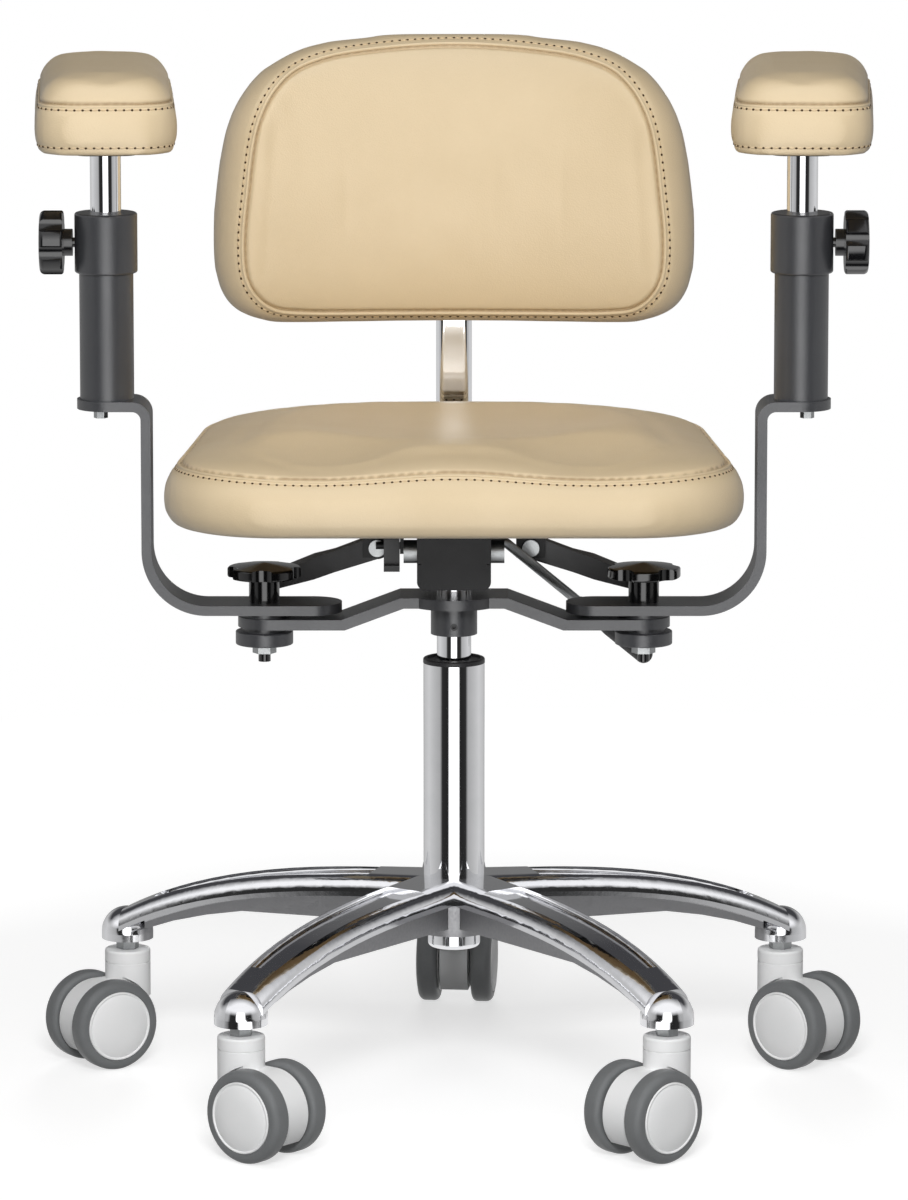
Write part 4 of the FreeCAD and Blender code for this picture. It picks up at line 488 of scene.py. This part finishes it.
def foam(node, name):
    """The cushion's form as an even skin."""
    mesh = nodes[node].data.copy()
    bm = bmesh.new()
    bm.from_mesh(mesh)
    bmesh.ops.remove_doubles(bm, verts=bm.verts, dist=1e-5)
    bm.to_mesh(mesh)
    bm.free()
    made = bpy.data.objects.new(name, mesh)
    scene.collection.objects.link(made)
    even = made.modifiers.new("even", "REMESH")
    even.mode = "VOXEL"
    even.voxel_size = FOAM_VOXEL
    settle(made)
    return made


def relax(made, chosen, rounds):
    """Smooths the chosen vertices of the skin."""
    bm = bmesh.new()
    bm.from_mesh(made.data)
    verts = [vert for vert in bm.verts if chosen(vert.co)]
    for _ in range(rounds):
        bmesh.ops.smooth_vert(bm, verts=verts, factor=0.5, use_axis_x=True, use_axis_y=True, use_axis_z=True)
    bm.to_mesh(made.data)
    bm.free()


def stuff(made, held, cap, pressure=4.0, frames=20):
    """Swells the skin like a filled cover by cloth simulation, held where it is sewn or stapled."""
    rest = [vert.co.copy() for vert in made.data.vertices]
    pins = made.vertex_groups.new(name="sewn")
    pins.add([i for i, point in enumerate(rest) if held(point)], 1.0, "REPLACE")
    cloth = made.modifiers.new("cover", "CLOTH")
    cloth.settings.vertex_group_mass = "sewn"
    cloth.settings.quality = 5
    cloth.settings.tension_stiffness = 40
    cloth.settings.compression_stiffness = 40
    cloth.settings.use_pressure = True
    cloth.settings.uniform_pressure_force = pressure
    cloth.settings.effector_weights.gravity = 0
    cloth.point_cache.frame_start = 1
    cloth.point_cache.frame_end = frames
    for step in range(1, frames + 1):
        scene.frame_set(step)
    settle(made)
    scene.frame_set(1)
    for vert, start in zip(made.data.vertices, rest):
        move = vert.co - start
        if move.length > cap:
            vert.co = start + move * (cap / move.length)
    made.vertex_groups.clear()


def refine(made):
    """Divides each face of the skin once."""
    finer = made.modifiers.new("finer", "SUBSURF")
    finer.levels = finer.render_levels = 1
    settle(made)


def divide_near(made, path, reach):
    """Divides the skin once more beside a seam."""
    near = close_to(path, reach)
    bm = bmesh.new()
    bm.from_mesh(made.data)
    chosen = [edge for edge in bm.edges if all(near(vert.co) for vert in edge.verts)]
    bmesh.ops.subdivide_edges(bm, edges=chosen, cuts=1, use_grid_fill=True)
    bm.to_mesh(made.data)
    bm.free()


def press(made, path, depth, width):
    """Presses a groove into the skin along a path."""
    near = finder(path)
    normals = [vert.normal.copy() for vert in made.data.vertices]
    for vert, normal in zip(made.data.vertices, normals):
        gap = near.find(vert.co)[2]
        if gap < 3 * width:
            vert.co -= normal * depth * math.exp(-(gap / width) ** 2)
    made.data.update()


def painted_seam_shade(made, path):
    """Marks where shade is painted darker into the leather deep in a seam."""
    near = finder(path)
    mark = made.data.attributes.new("painted_seam_shade", "FLOAT", "POINT")
    for vert, spot in zip(made.data.vertices, mark.data):
        spot.value = math.exp(-(near.find(vert.co)[2] / CREASE_WIDTH) ** 2)


def piping(name, path, radius, body):
    """A thin rolled edge along a closed path."""
    curve = bpy.data.curves.new(name, "CURVE")
    curve.dimensions = "3D"
    curve.bevel_depth = radius
    curve.bevel_resolution = 3
    spline = curve.splines.new("POLY")
    spline.points.add(len(path) - 1)
    for spot, point in zip(spline.points, path):
        spot.co = (*point, 1)
    spline.use_cyclic_u = True
    holder = bpy.data.objects.new(name, curve)
    scene.collection.objects.link(holder)
    graph = bpy.context.evaluated_depsgraph_get()
    mesh = bpy.data.meshes.new_from_object(holder.evaluated_get(graph))
    bpy.data.objects.remove(holder)
    mesh.shade_smooth()
    piece(name, mesh, body, "leatherette", slot="leatherette")


def stitches(name, tree, path, body):
    """A row of lockstitches along a path: a short thread at each pitch, and at each needle hole a dark dot of
    painted shade.
    """
    spots = [tree.find_nearest(point)[0] for point in evenly(path, STITCH_PITCH)]
    bm = bmesh.new()
    for index, spot in enumerate(spots):
        after = spots[(index + 1) % len(spots)]
        middle, normal = tree.find_nearest(spot.lerp(after, 0.5))[:2]
        along = (after - spot).normalized()
        side = normal.cross(along).normalized()
        turn = Matrix((along, side, along.cross(side))).transposed().to_4x4()
        for point, size, kind in ((middle, THREAD_SIZE, 0), (spot, HOLE_SIZE, 1)):
            shape = Matrix.Translation(point) @ turn @ Matrix.Diagonal((*size, 1))
            made = bmesh.ops.create_uvsphere(bm, u_segments=8, v_segments=5, radius=1, matrix=shape)
            for face in {face for vert in made["verts"] for face in vert.link_faces}:
                face.material_index = kind
                face.smooth = True
    mesh = bpy.data.meshes.new(name)
    bm.to_mesh(mesh)
    bm.free()
    piece(name, mesh, body, "thread", "painted_hole_shade", slot="leatherette")


def upholster(made, node, body):
    """Gives the finished skin its cover, body and place."""
    made.data.shade_smooth()
    made.data.materials.clear()
    made.data.materials.append(FINISH["leatherette"])
    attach(made, body)
    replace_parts(made, node)


def offset_loop(outline, outward):
    """A closed loop in the x z plane moved outwards."""
    made = []
    for index, point in enumerate(outline):
        along = outline[(index + 1) % len(outline)] - outline[index - 1]
        made.append(point + Vector((-along.z, 0, along.x)).normalized() * outward)
    return made


def thigh_wave(point, floor):
    """Lift of the seat's front edge: high between the thighs and low under them."""
    ahead = min(1, max(0, (THIGH_START - point.y) / THIGH_RUN))
    tall = min(1, max(0, (point.z - floor - THIGH_LOW) / THIGH_RISE))
    wave = math.cos(math.tau * point.x / THIGH_SPACING) * math.exp(-(point.x / THIGH_SPREAD) ** 2)
    return point + UP * THIGH_LIFT * wave * ahead * tall


def seat_cushion():
    """Contoured seat: a top panel sewn to a deep band, with a lip and a row of stitches below it."""
    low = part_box("seat_cushion")[0]
    made = foam("seat_cushion", "seat_upholstery")
    seam_z = low.z + SEAT_SEAM_RISE
    relax(made, lambda point: point.z > seam_z - 4 * MM, 7)
    tree = tree_of(made)
    heights = {"seam": seam_z, "lip": seam_z - SEAT_LIP_DROP, "row": seam_z - SEAT_STITCH_DROP}
    paths = {name: [thigh_wave(point, low.z) for point in girdle(tree, Vector((0, 0, height)), UP)]
             for name, height in heights.items()}
    for vert in made.data.vertices:
        vert.co = thigh_wave(vert.co, low.z)
    sewn = close_to(paths["seam"], SEWN_REACH)
    stuff(made, lambda point: point.z < low.z + 14 * MM or sewn(point), SEAT_SWELL)
    relax(made, lambda point: point.z > low.z + 18 * MM, 1)
    refine(made)
    seam = laid(tree_of(made), paths["seam"])
    divide_near(made, seam, FINE_REACH)
    press(made, seam, *SEAT_GROOVE)
    press(made, laid(tree_of(made), paths["row"]), SEAT_ROW, ROW_WIDTH)
    tree = tree_of(made)
    painted_seam_shade(made, laid(tree, paths["seam"]))
    piping("seat_lip", laid(tree, paths["lip"]), SEAT_LIP, "seat")
    stitches("seat_stitches", tree, laid(tree, paths["row"]), "seat")
    upholster(made, "seat_cushion", "seat")


def back_cushion():
    """Wrapped backrest: a front panel with a welt round it, and a band with a row of stitches."""
    low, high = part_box("back_cushion")
    made = foam("back_cushion", "back_upholstery")
    half = [Vector((x, 0, z)) for x, z in BACK_PANEL]
    loop = half + [Vector((-point.x, 0, point.z)) for point in half[-2:0:-1]]
    outline = through(loop)
    relax(made, lambda point: True, 3)
    relax(made, lambda point: point.z > high.z - 30 * MM, 24)
    seam = cast_on(tree_of(made), outline, AHEAD)
    sewn = close_to(seam, SEWN_REACH)
    rear = high.y - 30 * MM
    stuff(made, lambda point: point.y > rear + 20 * MM or sewn(point), BACK_SWELL)
    relax(made, lambda point: True, 2)
    refine(made)
    tree = tree_of(made)
    seam = cast_on(tree, outline, AHEAD)
    row = cast_on(tree, offset_loop(outline, BAND_STITCH), AHEAD)
    divide_near(made, seam, FINE_REACH)
    press(made, seam, *BACK_GROOVE)
    press(made, row, BACK_ROW, ROW_WIDTH)
    tree = tree_of(made)
    welt = cast_on(tree, offset_loop(outline, BACK_WELT_OUT), AHEAD)
    painted_seam_shade(made, cast_on(tree, outline, AHEAD))
    piping("back_welt", welt, BACK_WELT, "backrest")
    row = cast_on(tree, offset_loop(outline, BAND_STITCH), AHEAD)
    stitches("back_stitches", tree, row, "backrest")
    upholster(made, "back_cushion", "backrest")


def arm_pad(side):
    """Arm pad: a top panel sunk inside a stitched band, with a stitched hem."""
    node, body = f"pad_cushion_{side}", f"pad_{side}"
    low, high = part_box(node)
    middle = (low + high) / 2
    made = foam(node, f"pad_upholstery_{side}")
    seam_z, hem_z = low.z + PAD_SEAM_RISE, low.z + PAD_HEM_RISE
    level = Vector((middle.x, middle.y, seam_z))
    relax(made, lambda point: point.z > seam_z, 5)
    sewn = close_to(girdle(tree_of(made), level, UP), SEWN_REACH)
    stuff(made, lambda point: point.z < hem_z + 2 * MM or sewn(point), PAD_SWELL)
    relax(made, lambda point: point.z > hem_z, 2)
    refine(made)
    tree = tree_of(made)
    seam = girdle(tree, level, UP)
    divide_near(made, seam, FINE_REACH)
    press(made, seam, *PAD_GROOVE)
    for drop in (PAD_STITCH_DROP, PAD_SEAM_RISE - PAD_HEM_RISE):
        press(made, girdle(tree, level - UP * drop, UP), PAD_ROW, ROW_WIDTH)
    tree = tree_of(made)
    painted_seam_shade(made, girdle(tree, level, UP))
    piping(f"pad_lip_{side}", girdle(tree, level - UP * PAD_LIP_DROP, UP), PAD_LIP, body)
    for name, drop in (("seam", PAD_STITCH_DROP), ("hem", PAD_SEAM_RISE - PAD_HEM_RISE)):
        stitches(f"pad_{name}_stitches_{side}", tree, girdle(tree, level - UP * drop, UP), body)
    upholster(made, node, body)


# Casters

WHEEL_GAP = 0.014
WHEEL_FACE = 0.032
RIM = 0.029
DISC = [(0, 0.0348, 0), (0.013, 0.0344, 0), (0.0245, 0.0331, 0), (0.0262, 0.0323, 0.0004),
        (0.0268, 0.0323, 0.0003), (0.0274, 0.0330, 0.0005), (0.0286, 0.0328, 0.0006), (RIM, 0.0310, 0),
        (RIM, WHEEL_GAP, 0), (0, WHEEL_GAP, 0)]


def wheels():
    """Domed wheel discs with a stepped rim, and rounded tyres bonded round them."""
    for label, joint in joints.items():
        if not label.startswith("wheel_spin"):
            continue
        body = joint["child"]
        hub, axis = Vector(joint["pos_m"]), Vector(joint["axis"]).normalized()
        low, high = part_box(body)
        if ((low + high) / 2 - hub).dot(axis) < 0:
            axis = -axis
        radius = hub.z
        spot = frame_along(axis, hub)
        tyre = [(RIM, WHEEL_GAP + 0.0004, 0), (radius, WHEEL_GAP + 0.0004, 0.0045),
                (radius, WHEEL_FACE - 0.0002, 0.0055), (RIM, WHEEL_FACE + 0.0003, 0.0006)]
        disc = lathe(f"{body}_disc", DISC)
        disc.transform(spot)
        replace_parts(piece(f"{body}_disc", smooth_shaded(disc), body, "caster_grey", slot="caster_grey"), body)
        ring = lathe(f"{body}_tyre", tyre)
        ring.transform(spot)
        piece(f"{body}_tyre", smooth_shaded(ring), body, "tread", slot="tread")


# Room, light and camera

# Studio brightness by the share of a half turn away from the camera's side.
STUDIO = ((0, 2.8), (0.08, 2.8), (0.12, 0.02), (0.25, 0.03), (0.3, 0.45), (0.6, 0.7), (0.86, 0.55),
          (0.94, 0.2))
# Where the floor's shadow catcher ends and plain white begins, and its glow at both ends.
NEAR_FLOOR, FAR_FLOOR = 0.7, 1.7
NEAR_GLOW, FAR_GLOW = 1.8, 1.0
NEAR_SHARE, FAR_SHARE = 0.36, 1.0


def studio_group():
    """Brightness of the studio round the chair: a lit front, dark flags beside it, grey flanks."""
    tree, given, end = shader_group("studio", [("Vector", "NodeSocketVector", (0, -1, 0))],
                                    [("Level", "NodeSocketColor")])
    way = add(tree, "ShaderNodeSeparateXYZ", {0: given["Vector"]}).outputs
    aside = maths(tree, "ARCTAN2", maths(tree, "ABSOLUTE", way["X"]),
                  maths(tree, "MULTIPLY", way["Y"], -1))
    ramp = add(tree, "ShaderNodeValToRGB", {"Fac": maths(tree, "DIVIDE", aside, math.pi)})
    marks = ramp.color_ramp.elements
    while len(marks) < len(STUDIO):
        marks.new(0.5)
    for mark, (at, level) in zip(marks, STUDIO):
        mark.position = at
        mark.color = (level, level, level, 1)
    tree.links.new(ramp.outputs["Color"], end.inputs["Level"])
    return tree


ROUND = studio_group()


def white_room():
    """White to the eye, with the studio in the metal's reflections and soft light from the front."""
    world = bpy.data.worlds.new("white_room")
    scene.world = world
    world.use_nodes = True
    tree = world.node_tree
    tree.nodes.clear()
    aim = add(tree, "ShaderNodeTexCoord").outputs["Generated"]
    way = add(tree, "ShaderNodeSeparateXYZ", {0: aim}).outputs
    bands = add(tree, "ShaderNodeGroup", {}, node_tree=ROUND)
    tree.links.new(aim, bands.inputs["Vector"])
    roof = ranged(tree, way["Z"], 0.25, 0.55)
    behind = ranged(tree, way["Y"], -0.3, 0.3)
    ceiling = mixed(tree, behind, (1.1, 1.1, 1.11, 1), (0.06, 0.06, 0.065, 1))
    studio = mixed(tree, roof, bands.outputs["Level"], ceiling)
    front = ranged(tree, way["Y"], 0.4, -1.0, 0.03, 0.22)
    dim = ranged(tree, way["Z"], 0.1, 0.9, 1.0, 0.55)
    seen = add(tree, "ShaderNodeLightPath").outputs
    plain = add(tree, "ShaderNodeBackground", {"Color": (1, 1, 1, 1), "Strength": 1.0}).outputs[0]
    mirrored = add(tree, "ShaderNodeBackground", {"Color": studio, "Strength": 1.0}).outputs[0]
    ambient = add(tree, "ShaderNodeBackground", {
        "Color": (0.97, 0.98, 1, 1), "Strength": maths(tree, "MULTIPLY", front, dim)}).outputs[0]
    first = add(tree, "ShaderNodeMixShader", {0: seen["Is Glossy Ray"], 1: ambient, 2: mirrored}).outputs[0]
    clear = maths(tree, "MAXIMUM", seen["Is Camera Ray"], seen["Is Transmission Ray"])
    both = add(tree, "ShaderNodeMixShader", {0: clear, 1: first, 2: plain}).outputs[0]
    add(tree, "ShaderNodeOutputWorld", {"Surface": both})


def white_floor():
    """Pale floor that stays white to the eye, keeps the chair's shadow and shows the studio to the metal."""
    bm = bmesh.new()
    bmesh.ops.create_grid(bm, x_segments=8, y_segments=8, size=20)
    mesh = bpy.data.meshes.new("floor")
    bm.to_mesh(mesh)
    bm.free()
    floor = bpy.data.objects.new("floor", mesh)
    scene.collection.objects.link(floor)
    material = bpy.data.materials.new("floor")
    material.use_nodes = True
    tree = material.node_tree
    tree.nodes.clear()
    seen = add(tree, "ShaderNodeLightPath").outputs
    place = add(tree, "ShaderNodeTexCoord").outputs["Object"]
    bands = add(tree, "ShaderNodeGroup", {}, node_tree=ROUND)
    tree.links.new(place, bands.inputs["Vector"])
    reach = add(tree, "ShaderNodeVectorMath", {0: place}, operation="LENGTH").outputs["Value"]
    far = ranged(tree, reach, 0.3, 0.6)
    studio = mixed(tree, far, (0.9, 0.9, 0.9, 1), bands.outputs["Level"])
    pale = mixed(tree, seen["Is Camera Ray"], (0.35, 0.35, 0.35, 1), (0.85, 0.85, 0.85, 1))
    matt = add(tree, "ShaderNodeBsdfDiffuse", {"Color": pale}).outputs[0]
    strength = ranged(tree, reach, NEAR_FLOOR, FAR_FLOOR, NEAR_GLOW, FAR_GLOW)
    glow = add(tree, "ShaderNodeEmission", {
        "Color": (1, 1, 1, 1), "Strength": strength}).outputs[0]
    mirrored = add(tree, "ShaderNodeEmission", {"Color": studio, "Strength": 1.0}).outputs[0]
    share = ranged(tree, reach, NEAR_FLOOR, FAR_FLOOR, NEAR_SHARE, FAR_SHARE)
    white = add(tree, "ShaderNodeMixShader", {
        0: maths(tree, "MULTIPLY", seen["Is Camera Ray"], share), 1: matt, 2: glow}).outputs[0]
    both = add(tree, "ShaderNodeMixShader", {0: seen["Is Glossy Ray"], 1: white, 2: mirrored}).outputs[0]
    add(tree, "ShaderNodeOutputMaterial", {"Surface": both})
    mesh.materials.append(material)


# The lights' places, aims, widths and heights in metres, and powers in watts.
LIGHTS = (("front_light", (0, -3.2, 1.95), (0, 0, 0.6), 0.9, 0.9, 88),
          ("rear_light", (0, 3.4, 1.0), (0, 0, 0.6), 0.9, 0.9, 46),
          ("top_light", (0, -1.2, 2.9), (0, 0, 0.4), 2.0, 2.0, 19))


def softbox(name, place, target, width, height, power):
    """A rectangular studio light aimed at a point."""
    light = bpy.data.lights.new(name, "AREA")
    light.shape = "RECTANGLE"
    light.size, light.size_y = width, height
    light.energy = power
    made = bpy.data.objects.new(name, light)
    made.location = place
    made.rotation_euler = (Vector(target) - Vector(place)).to_track_quat("-Z", "Y").to_euler()
    made.visible_glossy = False
    scene.collection.objects.link(made)


def camera():
    """The photograph's viewpoint."""
    lens = bpy.data.cameras.new("view")
    lens.sensor_fit = "VERTICAL"
    lens.sensor_height = SENSOR
    lens.lens = SENSOR * PICTURE_HEIGHTS
    lens.clip_end = 100
    made = bpy.data.objects.new("view", lens)
    made.location = CAMERA_PLACE
    made.rotation_euler = (math.pi / 2 - CAMERA_PITCH, 0, 0)
    scene.collection.objects.link(made)
    scene.camera = made


def dress_frame():
    """The finishes of the rigid pieces that stay as the frame gives them."""
    slots = {part["node"]: part["material_slot"] for part in frame["record"]["subparts"]}
    for name, made in nodes.items():
        label = "polished_casting" if name == "star_base" else slots[name]
        for spot in made.material_slots:
            spot.material = FINISH[label]


scene.view_settings.view_transform = "Standard"
dress_frame()
seat_cushion()
back_cushion()
arm_pad("left")
arm_pad("right")
wheels()
white_room()
white_floor()
for light in LIGHTS:
    softbox(*light)
camera()
